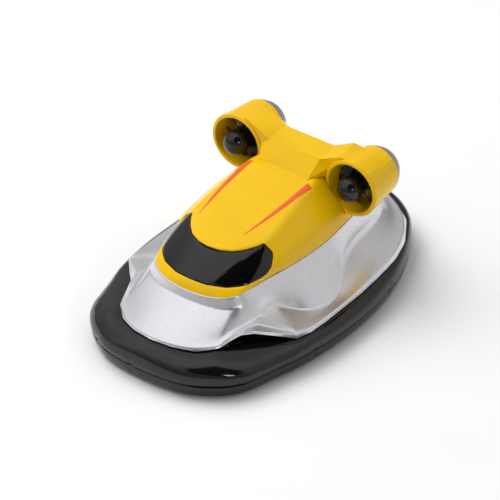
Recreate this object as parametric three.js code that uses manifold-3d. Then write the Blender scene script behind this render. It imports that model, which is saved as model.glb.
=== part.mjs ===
// A small radio-controlled hovercraft-style boat, 130 mm long, in millimetres.
// +Z is up, -Y is the bow, +X is the port side. The origin is under the middle of the hull, on the
// plane that the flat bottom rests on.
//
// The boat is a stack of thin moulded shells: a lower hull, a skirt, a deck, a canopy with a
// windshield let into it, and a bridge that carries two ducts. The hull holds a battery, a circuit
// board and two motors, each of which drives a propeller in a pocket under the stern.

import * as THREE from "three";
import { ConvexGeometry } from "three/addons/geometries/ConvexGeometry.js";
import { RoundedBoxGeometry } from "three/addons/geometries/RoundedBoxGeometry.js";
import { mergeVertices } from "three/addons/utils/BufferGeometryUtils.js";
import Module from "manifold-3d";

const wasm = await Module();
wasm.setup();

// ---------------------------------------------------------------- driving dimensions

const WALL = 1.1; // shells
const GAP = 0.3; // between pieces that touch
const SEAM_Z = 4.7; // lower edge of the skirt
const RIM_Z = SEAM_Z - GAP; // upper edge of the lower hull
const FLOOR_TOP = 1.6; // inside face of the flat bottom
const SPANS = 1; // facets between two stations

const DUCT_X = 23.5;
const DUCT_Z = 41;
const DUCT_FRONT_Y = 17.7;
const DUCT_LENGTH = 16;
const DUCT_FRONT_R = 10.3;
const DUCT_REAR_R = 8.4;
const MOUTH_R = 8.85; // opening at the front of a duct
const THROAT_R = 7.2; // bore at the back of a duct
const NOZZLE_LENGTH = 3.4;
const DOME_R = 4.4; // the fan's round nose
const FAN_R = 7.6; // blade tips
const FAN_BLADES = 8;
const FAN_PIN_R = 0.6;

const SHAFT_X = 14;
const SHAFT_Z = 6.4;
const SHAFT_R = 0.75;
const MOTOR_R = 4;
const MOTOR_FRONT_Y = 2;
const MOTOR_LENGTH = 15;
const POCKET_R = 5.3; // half-round pocket over a propeller
const POCKET_Y = [36, 47.9];
const PROP_R = 4.5;

const SWITCH_Y = -2; // middle of the power switch
const PLUG_TILT = 0.37; // the deck's stern wall leans forward by this angle, in radians

const SIDES = [["port", 1], ["starboard", -1]];

// ---------------------------------------------------------------- colours

const paint = (name, color, roughness, metalness = 0) =>
  new THREE.MeshStandardMaterial({ name, color, roughness, metalness });
const BLACK_GLOSS = paint("black_gloss", 0x1b1b20, 0.18);
const BLACK_MATT = paint("black_matt", 0x222226, 0.5);
const SILVER = paint("silver_paint", 0xb9b8bd, 0.38, 0.55);
const YELLOW = paint("yellow_plastic", 0xf2c300, 0.28);
const GLASS_BLACK = paint("windshield_black", 0x121216, 0.08);
const GREY = paint("nozzle_grey", 0x9b9aa2, 0.4, 0.3);
const STEEL = paint("steel", 0xb4b4b8, 0.3, 1);
const BRASS = paint("brass", 0xc9a24a, 0.35, 1);
const RUBBER = paint("rubber", 0x17171a, 0.8);
const BOARD_GREEN = paint("board_green", 0x1f6b3a, 0.5);
const CELL_BLUE = paint("cell_wrap", 0x2a5fa8, 0.45);
const WIRE_RED = paint("wire_red", 0xb02020, 0.5);
const SCREW = paint("screw_steel", 0x9a9aa0, 0.35, 1);

// ---------------------------------------------------------------- solids and meshes

const boat = new THREE.Group();

// A closed three.js geometry as a manifold-3d solid, with its faces turned outwards.
function solid(geometry) {
  const bare = new THREE.BufferGeometry().setAttribute("position", geometry.getAttribute("position"));
  if (geometry.index) bare.setIndex(geometry.index);
  const merged = mergeVertices(bare, 1e-4);
  const index = new Uint32Array(merged.index.array);
  const p = merged.attributes.position.array;
  let volume = 0;
  for (let i = 0; i < index.length; i += 3) {
    const [a, b, c] = [0, 1, 2].map((k) => new THREE.Vector3().fromArray(p, index[i + k] * 3));
    volume += a.dot(b.cross(c));
  }
  if (volume < 0)
    for (let i = 0; i < index.length; i += 3) [index[i + 1], index[i + 2]] = [index[i + 2], index[i + 1]];
  return new wasm.Manifold(new wasm.Mesh({ numProp: 3, vertProperties: p, triVerts: index }));
}

function geometryOf(manifold) {
  const mesh = manifold.getMesh();
  const geometry = new THREE.BufferGeometry();
  geometry.setAttribute("position", new THREE.BufferAttribute(mesh.vertProperties, 3));
  geometry.setIndex(new THREE.BufferAttribute(mesh.triVerts, 1));
  return geometry;
}

function add(name, manifold, material) {
  const mesh = new THREE.Mesh(geometryOf(manifold), material);
  mesh.name = name;
  boat.add(mesh);
}

const box = (x, y, z) =>
  solid(
    new THREE.BoxGeometry(x[1] - x[0], y[1] - y[0], z[1] - z[0])
      .translate((x[0] + x[1]) / 2, (y[0] + y[1]) / 2, (z[0] + z[1]) / 2),
  );

const roundedBox = (x, y, z, radius) =>
  solid(
    new RoundedBoxGeometry(x[1] - x[0], y[1] - y[0], z[1] - z[0], 2, radius)
      .translate((x[0] + x[1]) / 2, (y[0] + y[1]) / 2, (z[0] + z[1]) / 2),
  );

// A profile of [radius, distance] points turned about the Y axis through (x, z).
const turnedY = (profile, x, z, sides = 18) =>
  solid(
    new THREE.LatheGeometry(profile.map(([r, y]) => new THREE.Vector2(r, y)), sides)
      .translate(x, 0, z),
  );

// The same about the Z axis through (x, y).
const turnedZ = (profile, x, y, sides = 12) =>
  solid(
    new THREE.LatheGeometry(profile.map(([r, z]) => new THREE.Vector2(r, z)), sides)
      .rotateX(Math.PI / 2)
      .translate(x, y, 0),
  );

const rodY = (r, y0, y1, x, z, sides = 10) => turnedY([[0, y0], [r, y0], [r, y1], [0, y1]], x, z, sides);
const rodZ = (r, z0, z1, x, y, sides = 8) => turnedZ([[0, z0], [r, z0], [r, z1], [0, z1]], x, y, sides);
const sleeveY = (outer, inner, y0, y1, x, z, sides = 20) =>
  turnedY([[inner, y0], [outer, y0], [outer, y1], [inner, y1], [inner, y0]], x, z, sides);

// A wire through points, as a tube of 8 sides.
function wire(points, r) {
  const path = new THREE.CatmullRomCurve3(points.map((p) => new THREE.Vector3(...p)));
  const ring = new THREE.Shape().absarc(0, 0, r, 0, 2 * Math.PI);
  return solid(
    new THREE.ExtrudeGeometry(ring, { steps: 2 * (points.length - 1), curveSegments: 4, extrudePath: path }),
  );
}

// ---------------------------------------------------------------- lofts

// Triangles between closed loops of equally many points; wrap joins the last loop to the first.
function bands(loops, wrap) {
  const n = loops[0].length;
  const index = [];
  const last = wrap ? loops.length : loops.length - 1;
  for (let j = 0; j < last; j++)
    for (let i = 0; i < n; i++) {
      const a = j * n + i;
      const b = j * n + ((i + 1) % n);
      const c = ((j + 1) % loops.length) * n + i;
      const d = ((j + 1) % loops.length) * n + ((i + 1) % n);
      index.push(a, b, d, a, d, c);
    }
  return index;
}

function loftGeometry(loops, index, extra = []) {
  const geometry = new THREE.BufferGeometry();
  const points = [...loops.flat(), ...extra];
  geometry.setAttribute("position", new THREE.Float32BufferAttribute(points.flatMap((p) => p.toArray()), 3));
  geometry.setIndex(index);
  return geometry;
}

// A closed ring, such as a shell with a hole in the middle.
const ringLoft = (loops) => solid(loftGeometry(loops, bands(loops, true)));

// A solid stack of small loops, closed at both ends by a fan about each end's middle.
function barLoft(loops) {
  const n = loops[0].length;
  const index = bands(loops, false);
  const middle = (loop) => loop.reduce((s, p) => s.add(p), new THREE.Vector3()).divideScalar(n);
  const first = loops.length * n;
  for (let i = 0; i < n; i++) {
    const next = (i + 1) % n;
    index.push(first, next, i);
    index.push(first + 1, (loops.length - 1) * n + i, (loops.length - 1) * n + next);
  }
  return solid(loftGeometry(loops, index, [middle(loops[0]), middle(loops.at(-1))]));
}

// A solid stack of loops round the boat, closed at both ends by strips from port to starboard.
function stackLoft(loops) {
  const n = loops[0].length;
  const index = bands(loops, false);
  const top = (loops.length - 1) * n;
  for (let i = 0; i < n / 2; i++) {
    const [a, b, c, d] = [i, i + 1, n - i - 1, (n - i) % n];
    if (b !== c) index.push(c, b, a, top + a, top + b, top + c);
    if (a !== d) index.push(d, c, a, top + a, top + c, top + d);
  }
  return solid(loftGeometry(loops, index));
}

// A loop from its port half, bow to stern, mirrored to starboard and rounded between stations.
function loopOf(half) {
  const points = half.map((p) => new THREE.Vector3(...p));
  const mirrored = points.slice(1, -1).reverse().map((p) => new THREE.Vector3(-p.x, p.y, p.z));
  const all = [...points, ...mirrored];
  const curve = new THREE.CatmullRomCurve3(all, true, "centripetal");
  const count = all.length * SPANS;
  return Array.from({ length: count }, (_, i) => curve.getPoint(i / count));
}

// The level outward direction at each point of a loop.
function outward(loop) {
  return loop.map((p, i) => {
    const before = loop.at(i - 1);
    const after = loop[(i + 1) % loop.length];
    return new THREE.Vector3(after.y - before.y, before.x - after.x, 0).normalize();
  });
}

// A loop moved inwards by inset and up by rise.
function moved(loop, inset, rise) {
  const out = outward(loop);
  return loop.map((p, i) => p.clone().addScaledVector(out[i], -inset).add(new THREE.Vector3(0, 0, rise)));
}

const atZ = (loop, z) => loop.map((p) => new THREE.Vector3(p.x, p.y, z));

// ---------------------------------------------------------------- the hull's stations, bow to stern

// Where each station meets the widest line of the skirt.
const OUTLINE = loopOf([
  [0, -65, 0], [9, -64.4, 0], [17, -62.6, 0], [24.5, -58.6, 0], [29.5, -54, 0], [32.6, -49, 0],
  [34.4, -43, 0], [36.2, -36, 0], [38.2, -28.5, 0], [39.7, -19, 0], [40.6, -12, 0], [40.8, 0, 0],
  [40.4, 9, 0], [39.3, 18, 0], [37.4, 27, 0], [34, 37, 0], [29, 47, 0], [21.5, 56.6, 0],
  [11.5, 63, 0], [0, 65, 0],
]);

// The deck, from the canopy's foot outwards: foot, riser, wall, the crease at the wall's foot, the
// step down to the side ledges, ledge, rim and lower edge.
const DECK_FOOT = loopOf([
  [0, -40.8, 23.4], [6, -40.4, 23.5], [11.5, -39, 23.8], [15.3, -36.9, 24.3], [17.2, -34.6, 24.9],
  [18, -32, 25.2], [18.4, -29.2, 25.2], [18.7, -26.2, 25.1], [19.1, -22.8, 25.1], [19.9, -18, 25.1],
  [21, -11.8, 25.1], [21.9, -3, 25.2], [22.2, 4.5, 25.4], [22, 12, 25.8], [21.4, 19.5, 26.3],
  [20.4, 28, 26.6], [17.9, 37.2, 26.6], [13.6, 43.8, 26.3], [7, 47.5, 26], [0, 48.5, 26],
]);
const DECK_RISER = loopOf([
  [0, -42, 20.6], [6.4, -41.6, 20.6], [12.4, -40.1, 20.5], [16.7, -37.7, 20.8], [18.8, -34.9, 21.6],
  [19.8, -32, 22.2], [20.3, -29.2, 22.4], [20.6, -26.2, 22.4], [21.1, -22.6, 22.2], [22.1, -17.6, 22],
  [23.6, -11.6, 21.8], [24.6, -3, 21.6], [24.3, 4.5, 22], [23.1, 12.2, 22.8], [22.2, 19.8, 23.3],
  [21.2, 28.4, 23.6], [18.9, 38, 23.5], [14.6, 45, 23.2], [7.6, 49, 22.9], [0, 50.1, 22.9],
]);
const DECK_WALL = loopOf([
  [0, -46.3, 19], [6.9, -45.7, 18.9], [13.1, -43.9, 18.6], [17.6, -40.4, 19.2], [19.4, -36.8, 19.4],
  [20.6, -33.2, 19.8], [21.6, -29.7, 19.9], [21.6, -26.4, 19.7], [22.2, -22.6, 19.3],
  [24.4, -17.2, 18.6], [27.2, -11.9, 18], [28.4, -2.8, 17.6], [26.8, 4.9, 18.6], [24, 12.7, 20.2],
  [22.6, 20.2, 20.9], [21.7, 28.8, 21.1], [19.6, 38.8, 20.9], [15.4, 46, 20.5], [8.1, 50.3, 20.2],
  [0, 51.5, 20.2],
]);
const DECK_CREASE = loopOf([
  [0, -50.6, 17.4], [7.3, -49.9, 17.2], [13.7, -47.6, 16.8], [18.4, -43.3, 17.5], [20.1, -39.3, 17.6],
  [21.3, -35.3, 17.7], [22.6, -30.4, 17.6], [22, -27, 17.3], [22.6, -22.8, 16.9], [26.9, -17.4, 14.6],
  [31.4, -14.2, 13.1], [33, -3.6, 13.1], [30.3, 4.2, 15.2], [24.9, 12.6, 17.9], [22.7, 20, 18.8],
  [22, 28.6, 18.9], [20.2, 39.4, 18.8], [16.1, 46.8, 18.4], [8.5, 51.2, 18.1], [0, 52.4, 18.1],
]);
const DECK_STEP = loopOf([
  [0, -54.2, 16], [7.6, -53.4, 15.8], [14.2, -50.6, 15.3], [19.1, -45.8, 15.9], [20.7, -41.5, 16.2],
  [21.9, -37.2, 16.4], [23.1, -31, 17.2], [26.9, -28.9, 15.9], [34.5, -26, 13.2], [34, -20.8, 12.7],
  [33.6, -13.6, 12.4], [33.3, -3.4, 12.5], [30.9, 4.6, 13.9], [25.7, 13.2, 16.2], [23.4, 20.4, 16.9],
  [22.7, 29, 17], [20.9, 40, 17], [16.7, 47.5, 16.8], [8.9, 51.7, 16.6], [0, 52.9, 16.6],
]);
const DECK_LEDGE = loopOf([
  [0, -56.9, 15.1], [7.8, -55.9, 14.8], [14.7, -52.9, 14.3], [19.6, -47.6, 14.9], [21.9, -44, 16.4],
  [23.1, -39.8, 16.8], [24.9, -34.9, 17], [28.4, -31.8, 15.5], [34.7, -26.2, 13], [35.3, -21.2, 12.4],
  [35.2, -13.4, 12.2], [34.8, -3.2, 12.2], [33.6, 6, 12.6], [30, 15, 13.6], [28.6, 21.6, 13.9],
  [28.2, 28.6, 14.1], [26, 38.2, 14.3], [20, 48.3, 14.3], [10.4, 54.3, 14.2], [0, 56, 14.2],
]);
const DECK_RIM = loopOf([
  [0, -58.7, 14.7], [7.9, -57.4, 14.3], [15, -54.2, 13.8], [20.2, -49, 14.3], [21.6, -44.9, 15.4],
  [22.8, -40.6, 15.8], [25.4, -36.9, 15.5], [29.2, -33.2, 14.4], [35, -26.5, 12.7], [36.1, -20.6, 12.2],
  [36.4, -13.2, 12.1], [36.4, -2.8, 12.1], [36.3, 6.6, 12.2], [35.7, 16.4, 12.5], [35.1, 22.6, 12.8],
  [34.2, 29.2, 13.1], [31.4, 38.6, 13.6], [24.2, 49.8, 14], [11.5, 57.4, 14.3], [0, 59.4, 14.4],
]);
const DECK_EDGE = loopOf([
  [0, -59, 13.9], [8, -57.7, 13.5], [15.1, -54.5, 13], [20.4, -49.2, 13.5], [21.8, -45.1, 14.6],
  [23, -40.8, 15], [25.6, -37.1, 14.7], [29.3, -33.3, 13.5], [34.8, -26.2, 10.4], [36.3, -20.4, 10.4],
  [36.7, -13, 10.4], [36.7, -2.6, 10.4], [36.6, 7, 10.5], [36, 16.8, 10.7], [35.4, 23, 10.9],
  [34.5, 29.6, 11.1], [31.7, 39, 11.5], [24.5, 50.3, 12], [11.7, 58, 12.4], [0, 60, 12.5],
]);

// The canopy, from its foot upwards: lower line, which is the windshield's lower edge at the bow,
// shoulder, which is its upper edge, and spine.
const CANOPY_LOWER = loopOf([
  [0, -38.7, 26.8], [6.2, -37.9, 26.7], [12.2, -35.4, 26.7], [15.5, -32.7, 26.9], [17.5, -30, 27.1],
  [18.9, -26.5, 27.5], [19.5, -23.5, 28.2], [19.9, -20.5, 29.2], [20.4, -17.4, 30], [21.2, -12, 30.3],
  [21.6, -7.5, 30.6], [22, -0.5, 31], [22, 4.5, 31.2], [21.8, 11.5, 31.4], [21.3, 18, 31.5],
  [20, 27, 31.3], [17.2, 36, 30.6], [12.8, 42, 29.8], [6.6, 45.6, 29.4], [0, 46.5, 29.4],
]);
const CANOPY_SHOULDER = loopOf([
  [0, -28.4, 33.8], [4.2, -27.8, 33.9], [8.2, -26, 34.2], [11, -23.6, 34.5], [12.8, -21.4, 34.9],
  [14, -19.5, 35.2], [14.6, -18.4, 35.4], [15, -17.2, 35.6], [15, -13.5, 36.4], [14.8, -9, 37.4],
  [14.5, -5, 38.3], [14, 0.5, 39.5], [13.6, 5, 40.4], [13.1, 10.8, 41.4], [12.4, 16.5, 41.5],
  [11.6, 26, 41.5], [10.5, 33, 38.4], [8.5, 38, 35.4], [4.5, 41, 33.6], [0, 41.6, 33.4],
]);

// ---------------------------------------------------------------- shells

// The port side's hull screws, and the top of the skirt's post over each; the others are mirrored.
const SCREWS = [[14, -53, 12.2], [30, -37, 12], [34.5, 6, 9.8], [24, 43.6, 11.2]];

function lowerHull() {
  const outer = [
    atZ(moved(OUTLINE, 4, 0), 0), atZ(moved(OUTLINE, 1.8, 0), 0.6), atZ(moved(OUTLINE, 0.5, 0), 2.4),
    atZ(moved(OUTLINE, 0.1, 0), RIM_Z),
  ];
  const inner = [
    atZ(moved(OUTLINE, 5, 0), FLOOR_TOP), atZ(moved(OUTLINE, 2.6, 0), 2.2),
    atZ(moved(OUTLINE, 1.4, 0), RIM_Z + 1),
  ];
  let hull = stackLoft(outer).subtract(stackLoft(inner));
  for (const side of [1, -1]) {
    const x = side * SHAFT_X;
    const [y0, y1] = POCKET_Y;
    const wall = POCKET_R + WALL;
    const housing = rodY(wall, y0 - WALL, y1 + WALL, x, SHAFT_Z, 16)
      .add(box([x - wall, x + wall], [y0 - WALL, y1 + WALL], [0.8, SHAFT_Z]))
      .intersect(box([x - 9, x + 9], [y0 - 9, y1 + 9], [0.8, 20]));
    const pocket = rodY(POCKET_R, y0, y1, x, SHAFT_Z, 16)
      .add(box([x - POCKET_R, x + POCKET_R], [y0, y1], [-1, SHAFT_Z]));
    hull = hull.add(housing).subtract(pocket);
    hull = hull.subtract(rodY(2.2, y0 - 2, y0 + 0.5, x, SHAFT_Z));
    for (const [sx, sy] of SCREWS) {
      hull = hull.add(rodZ(3.1, 1, 2.5, side * sx, sy)).subtract(rodZ(2.2, -1, 1.2, side * sx, sy));
      hull = hull.subtract(rodZ(1.25, 1, 4, side * sx, sy));
    }
    for (const y of [-6, 14])
      hull = hull.add(rodZ(1.5, 1, 9.3, side * 7.5, y, 12)).subtract(rodZ(0.8, 5, 10, side * 7.5, y, 12));
    hull = hull.add(rodZ(2.2, 1, 3, side * 5, 9, 12)).subtract(rodZ(1, 2, 4, side * 5, 9, 12));
    hull = hull.add(box([side * 9.7 - 0.5, side * 9.7 + 0.5], [-38, -14], [1, 5]));
    hull = hull.subtract(rodZ(1, -1, 3, side * 6, 24, 12));
  }
  return hull.subtract(box([-1.4, 1.4], [SWITCH_Y - 3.2, SWITCH_Y + 3.2], [-1, 3]));
}

// A quarter-round section from the widest line up to the deck's edge, then a flange under the deck.
function skirt() {
  const edge = moved(DECK_EDGE, 0.6, -0.4);
  const rounded = (inset, drop, angle) =>
    moved(OUTLINE, inset, 0).map((p, i) => {
      const top = edge[i];
      const across = Math.pow(Math.cos(angle), 0.8);
      const up = Math.pow(Math.sin(angle), 0.8);
      return new THREE.Vector3(
        top.x + (p.x - top.x) * across,
        top.y + (p.y - top.y) * across,
        SEAM_Z + 1.6 + (top.z - drop - SEAM_Z - 1.6) * up,
      );
    });
  const angles = [0, 0.25, 0.5, 0.75, 1].map((s) => (s * Math.PI) / 2);
  const outer = [atZ(moved(OUTLINE, 0.3, 0), SEAM_Z), ...angles.map((a) => rounded(0, 0, a))];
  const flange = [moved(edge, 3.6, 0), moved(edge, 3.6, -WALL)];
  const inner = [...angles.map((a) => rounded(1.3, WALL, a)).reverse(), atZ(moved(OUTLINE, 1.5, 0), SEAM_Z)];
  let shell = ringLoft([...outer, ...flange, ...inner]);
  for (const side of [1, -1])
    for (const [x, y, top] of SCREWS) {
      shell = shell
        .add(rodZ(2.4, 2.8, top, side * x, y))
        .subtract(rodZ(1.25, 2, 8.6, side * x, y));
    }
  return shell;
}

function deck() {
  const loops = [DECK_FOOT, DECK_RISER, DECK_WALL, DECK_CREASE, DECK_STEP, DECK_LEDGE, DECK_RIM, DECK_EDGE];
  const under = loops.map((loop) => moved(loop, 1, -0.8)).reverse();
  under[0] = moved(DECK_EDGE, 0.9, 0);
  return ringLoft([...loops, ...under]).subtract(plugHole(1.9));
}

// The canopy's outer surface, drawn in by inset on every side.
function canopySolid(inset) {
  const up = (1 - inset / 25);
  const foot = moved(DECK_FOOT, inset, GAP);
  const bulge = CANOPY_LOWER.map((p, i) =>
    p.clone().add(CANOPY_SHOULDER[i]).divideScalar(2).addScaledVector(outward(CANOPY_LOWER)[i], 0.9));
  const spine = CANOPY_SHOULDER.map((p) => new THREE.Vector3(p.x * 0.35, p.y, p.z + 0.9 * (Math.abs(p.x) / 15)));
  const rings = [moved(CANOPY_LOWER, inset, 0), moved(bulge, inset, 0), moved(CANOPY_SHOULDER, inset, 0), spine];
  const top = rings.map((ring) => ring.map((p) => new THREE.Vector3(p.x * up, p.y * up, p.z - inset)));
  return inset > 0 ? stackLoft([atZ(foot, 20), ...top]) : stackLoft([foot, ...rings]);
}

// The cones that the ducts fill, grown by clearance, with a flare in front of each mouth.
function ductCones(clearance) {
  const y0 = DUCT_FRONT_Y - clearance;
  const y1 = DUCT_FRONT_Y + DUCT_LENGTH + NOZZLE_LENGTH + 4;
  const slope = (DUCT_FRONT_R - DUCT_REAR_R) / DUCT_LENGTH;
  const front = DUCT_FRONT_R + clearance;
  const back = front - slope * (y1 - y0);
  const profile = [[0, y0 - 6], [front * 0.72, y0 - 4.5], [front, y0 - 0.5], [front, y0], [back, y1], [0, y1]];
  return turnedY(profile, DUCT_X, DUCT_Z, 24).add(turnedY(profile, -DUCT_X, DUCT_Z, 24));
}

// The windshield is the strip between the canopy's lower line and its shoulder, round the bow.
const GLASS_STATIONS = 7 * SPANS;
function windshieldStrip(outside, thickness, grow) {
  const n = CANOPY_LOWER.length;
  const columns = [];
  for (let i = -GLASS_STATIONS; i <= GLASS_STATIONS; i++) {
    const low = CANOPY_LOWER.at(i % n);
    const high = CANOPY_SHOULDER.at(i % n);
    const out = outward(CANOPY_LOWER).at(i % n);
    const across = high.clone().sub(low);
    const normal = out.clone().multiplyScalar(across.z).add(new THREE.Vector3(0, 0, 1).multiplyScalar(
      -across.dot(out))).normalize();
    const at = (s, d) => low.clone().addScaledVector(across, s).addScaledVector(normal, d + 3.2 * s * (1 - s) * 0.9);
    const [s0, s1] = [0.05 - grow, 0.93 + grow];
    const rows = [s0, (s0 + s1) / 2, s1];
    columns.push([...rows.map((s) => at(s, outside)), ...rows.reverse().map((s) => at(s, outside - thickness))]);
  }
  return barLoft(columns);
}

const canopyShell = canopySolid(0)
  .subtract(ductCones(0.35))
  .subtract(canopySolid(WALL).subtract(ductCones(0.35 + WALL)))
  .subtract(windshieldStrip(2, 2.9, 0.035));

// ---------------------------------------------------------------- bridge, ducts and fans

function ductBridge() {
  const [y0, y1] = [DUCT_FRONT_Y, DUCT_FRONT_Y + DUCT_LENGTH];
  const corners = [
    [10, 12.6, 42], [10, 33.4, 42], [10.4, 18.6, 47.3], [10.1, 27.5, 47.8],
  ].flatMap(([x, y, z]) => [new THREE.Vector3(x, y, z), new THREE.Vector3(-x, y, z)]);
  let bridge = solid(new ConvexGeometry(corners));
  for (const side of [1, -1]) {
    const gusset = [
      [9.9, y0 + 0.6, 42], [9.9, 33, 42], [10.4, y0 + 0.6, 47.3], [10.1, 27.5, 47.8], [18.8, y0 + 0.6, 51.3],
      [17, 28.7, 51], [16, y0 + 0.6, 42], [17.5, y1 - 0.6, 42], [18, y1 - 1, 46.5],
    ].map(([x, y, z]) => new THREE.Vector3(side * x, y, z));
    const cheek = [
      [9.9, 12.6, 42], [13.2, y0 + 0.3, 42], [13.4, y0 + 0.3, 44.5], [10.4, y0 + 0.9, 47.3], [9.9, 30, 42],
      [13.2, 30, 42],
    ].map(([x, y, z]) => new THREE.Vector3(side * x, y, z));
    const body = turnedY(
      [
        [0, y0], [DUCT_FRONT_R - 0.7, y0], [DUCT_FRONT_R, y0 + 0.8], [DUCT_REAR_R + 0.3, y1 - 0.6],
        [DUCT_REAR_R - 0.3, y1], [0, y1],
      ],
      side * DUCT_X, DUCT_Z, 24,
    );
    bridge = bridge.add(solid(new ConvexGeometry(gusset))).add(solid(new ConvexGeometry(cheek))).add(body);
  }
  for (const side of [1, -1]) {
    const bore = turnedY(
      [
        [0, y0 - 2], [MOUTH_R + 0.3, y0 - 2], [MOUTH_R, y0 + 0.5], [THROAT_R, y1 - 4], [THROAT_R, y1 + 1],
        [0, y1 + 1],
      ],
      side * DUCT_X, DUCT_Z, 24,
    );
    bridge = bridge.subtract(bore);
  }
  return bridge.subtract(canopySolid(-0.3).intersect(box([-13, 13], [0, 60], [20, 60])));
}

function nozzle(side) {
  const y = DUCT_FRONT_Y + DUCT_LENGTH + 0.3;
  const end = y + NOZZLE_LENGTH;
  return turnedY(
    [
      [6.9, y - 2.6], [6.9, y], [7.9, y], [7.5, y + 1.5], [6.9, y + 1.6], [6.2, end], [5.4, end],
      [5.7, y - 2.6], [6.9, y - 2.6],
    ],
    side * DUCT_X, DUCT_Z, 24,
  );
}

// A flat blade from the hub to the tip, set at an angle about its own length.
function blade(root, tip, width, thickness, pitch) {
  const shape = new THREE.Shape()
    .moveTo(-width * 0.3, root)
    .lineTo(width * 0.3, root)
    .quadraticCurveTo(width * 0.62, (root + tip) / 2, width * 0.35, tip * 0.985)
    .lineTo(-width * 0.35, tip * 0.985)
    .quadraticCurveTo(-width * 0.5, (root + tip) / 2, -width * 0.3, root);
  return new THREE.ExtrudeGeometry(shape, { depth: thickness, bevelEnabled: false, curveSegments: 3 })
    .translate(0, 0, -thickness / 2)
    .applyMatrix4(new THREE.Matrix4().makeBasis(
      new THREE.Vector3(Math.cos(pitch), Math.sin(pitch), 0),
      new THREE.Vector3(0, 0, 1),
      new THREE.Vector3(Math.sin(pitch), -Math.cos(pitch), 0),
    ));
}

function bladesAbout(count, y, x, z, make) {
  return Array.from({ length: count }, (_, i) =>
    solid(make().rotateY((i * 2 * Math.PI) / count).translate(x, y, z)));
}

const FAN_Y = DUCT_FRONT_Y + 4.8; // middle of the blades
function fanRotor(side) {
  const x = side * DUCT_X;
  const steps = Array.from({ length: 7 }, (_, i) => (i * Math.PI) / 12);
  const nose = steps.map((a) => [DOME_R * Math.sin(a), DUCT_FRONT_Y - DOME_R * Math.cos(a)]);
  const back = FAN_Y + 4;
  const bore = FAN_PIN_R + 0.15;
  let rotor = turnedY([...nose, [3.4, back], [bore, back], [bore, back - 5], [0, back - 5]], x, DUCT_Z);
  for (const b of bladesAbout(FAN_BLADES, FAN_Y, x, DUCT_Z, () => blade(3, FAN_R, 3.4, 0.8, side * 0.7)))
    rotor = rotor.add(b);
  return rotor;
}

const STATOR_Y = FAN_Y + 4.6;
function fanStator(side) {
  const x = side * DUCT_X;
  const bore = FAN_PIN_R + 0.1;
  let stator = sleeveY(2.4, bore, STATOR_Y, STATOR_Y + 2, x, DUCT_Z);
  for (let i = 0; i < 3; i++) {
    const arm = new THREE.BoxGeometry(1, 1.6, 4.6)
      .translate(0, STATOR_Y + 1, 2.2 + 2.3)
      .rotateY((i * 2 * Math.PI) / 3);
    stator = stator.add(solid(arm.translate(x, 0, DUCT_Z)));
  }
  return stator;
}

// ---------------------------------------------------------------- drive line

const COUPLING_Y = MOTOR_FRONT_Y + MOTOR_LENGTH + 1.6;
function motor(side) {
  const y1 = MOTOR_FRONT_Y + MOTOR_LENGTH;
  const bore = SHAFT_R + 0.15;
  return turnedY(
    [
      [0, MOTOR_FRONT_Y], [MOTOR_R - 0.5, MOTOR_FRONT_Y], [MOTOR_R, MOTOR_FRONT_Y + 0.5], [MOTOR_R, y1 - 0.4],
      [MOTOR_R - 0.4, y1], [1.8, y1], [1.8, y1 + 0.8], [bore, y1 + 0.8], [bore, y1 - 3], [0, y1 - 3],
    ],
    side * SHAFT_X, SHAFT_Z, 12,
  );
}

const PROP_Y = 42;
function propeller(side) {
  const x = side * SHAFT_X;
  const bore = SHAFT_R + 0.1;
  let prop = turnedY(
    [
      [bore, PROP_Y - 2.2], [1.6, PROP_Y - 2.2], [1.7, PROP_Y + 1.4], [1, PROP_Y + 2.6], [0, PROP_Y + 2.9],
      [0, PROP_Y + 1], [bore, PROP_Y + 1], [bore, PROP_Y - 2.2],
    ],
    x, SHAFT_Z, 16,
  );
  for (const b of bladesAbout(3, PROP_Y, x, SHAFT_Z, () => blade(1.2, PROP_R, 3.6, 0.7, side * 0.65)))
    prop = prop.add(b);
  return prop;
}

// A frame with bars across the mouth of a propeller pocket.
function guard(side) {
  const x = side * SHAFT_X;
  const [w, y0, y1] = [POCKET_R - GAP, POCKET_Y[0] + GAP, POCKET_Y[1] - GAP];
  let frame = box([x - w, x + w], [y0, y1], [0.3, 1.2]);
  const bars = 4;
  const pitch = (2 * w) / bars;
  for (let i = 0; i < bars; i++)
    frame = frame.subtract(
      box([x - w + i * pitch + 0.5, x - w + (i + 1) * pitch - 0.5], [y0 + 0.9, y1 - 0.9], [0, 2]),
    );
  return frame;
}

function motorBracket() {
  let bracket = box([-19.4, 19.4], [6, 12], [FLOOR_TOP + GAP, 7.4])
    .subtract(box([-8.8, 8.8], [5, 13], [4.6, 9]))
    .subtract(box([-7.6, 7.6], [5, 13], [0, 3.3]));
  for (const side of [1, -1]) {
    bracket = bracket.subtract(rodY(MOTOR_R + GAP, 5, 13, side * SHAFT_X, SHAFT_Z, 20));
    bracket = bracket.subtract(rodZ(1, 2, 8, side * 5, 9, 12));
  }
  return bracket;
}

// A pan-head screw with a cross slot, pointing up.
function screwUp(headR, headZ, headH, shankR, length, x, y) {
  const head = turnedZ(
    [[0, headZ], [headR * 0.75, headZ], [headR, headZ + headH * 0.5], [headR, headZ + headH], [shankR, headZ + headH],
      [shankR, headZ + length - 0.8], [0, headZ + length]],
    x, y, 8,
  );
  const slot = (w, d) => box([x - w, x + w], [y - d, y + d], [headZ - 1, headZ + headH * 0.45]);
  return head.subtract(slot(headR * 0.7, 0.22)).subtract(slot(0.22, headR * 0.7));
}

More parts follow.
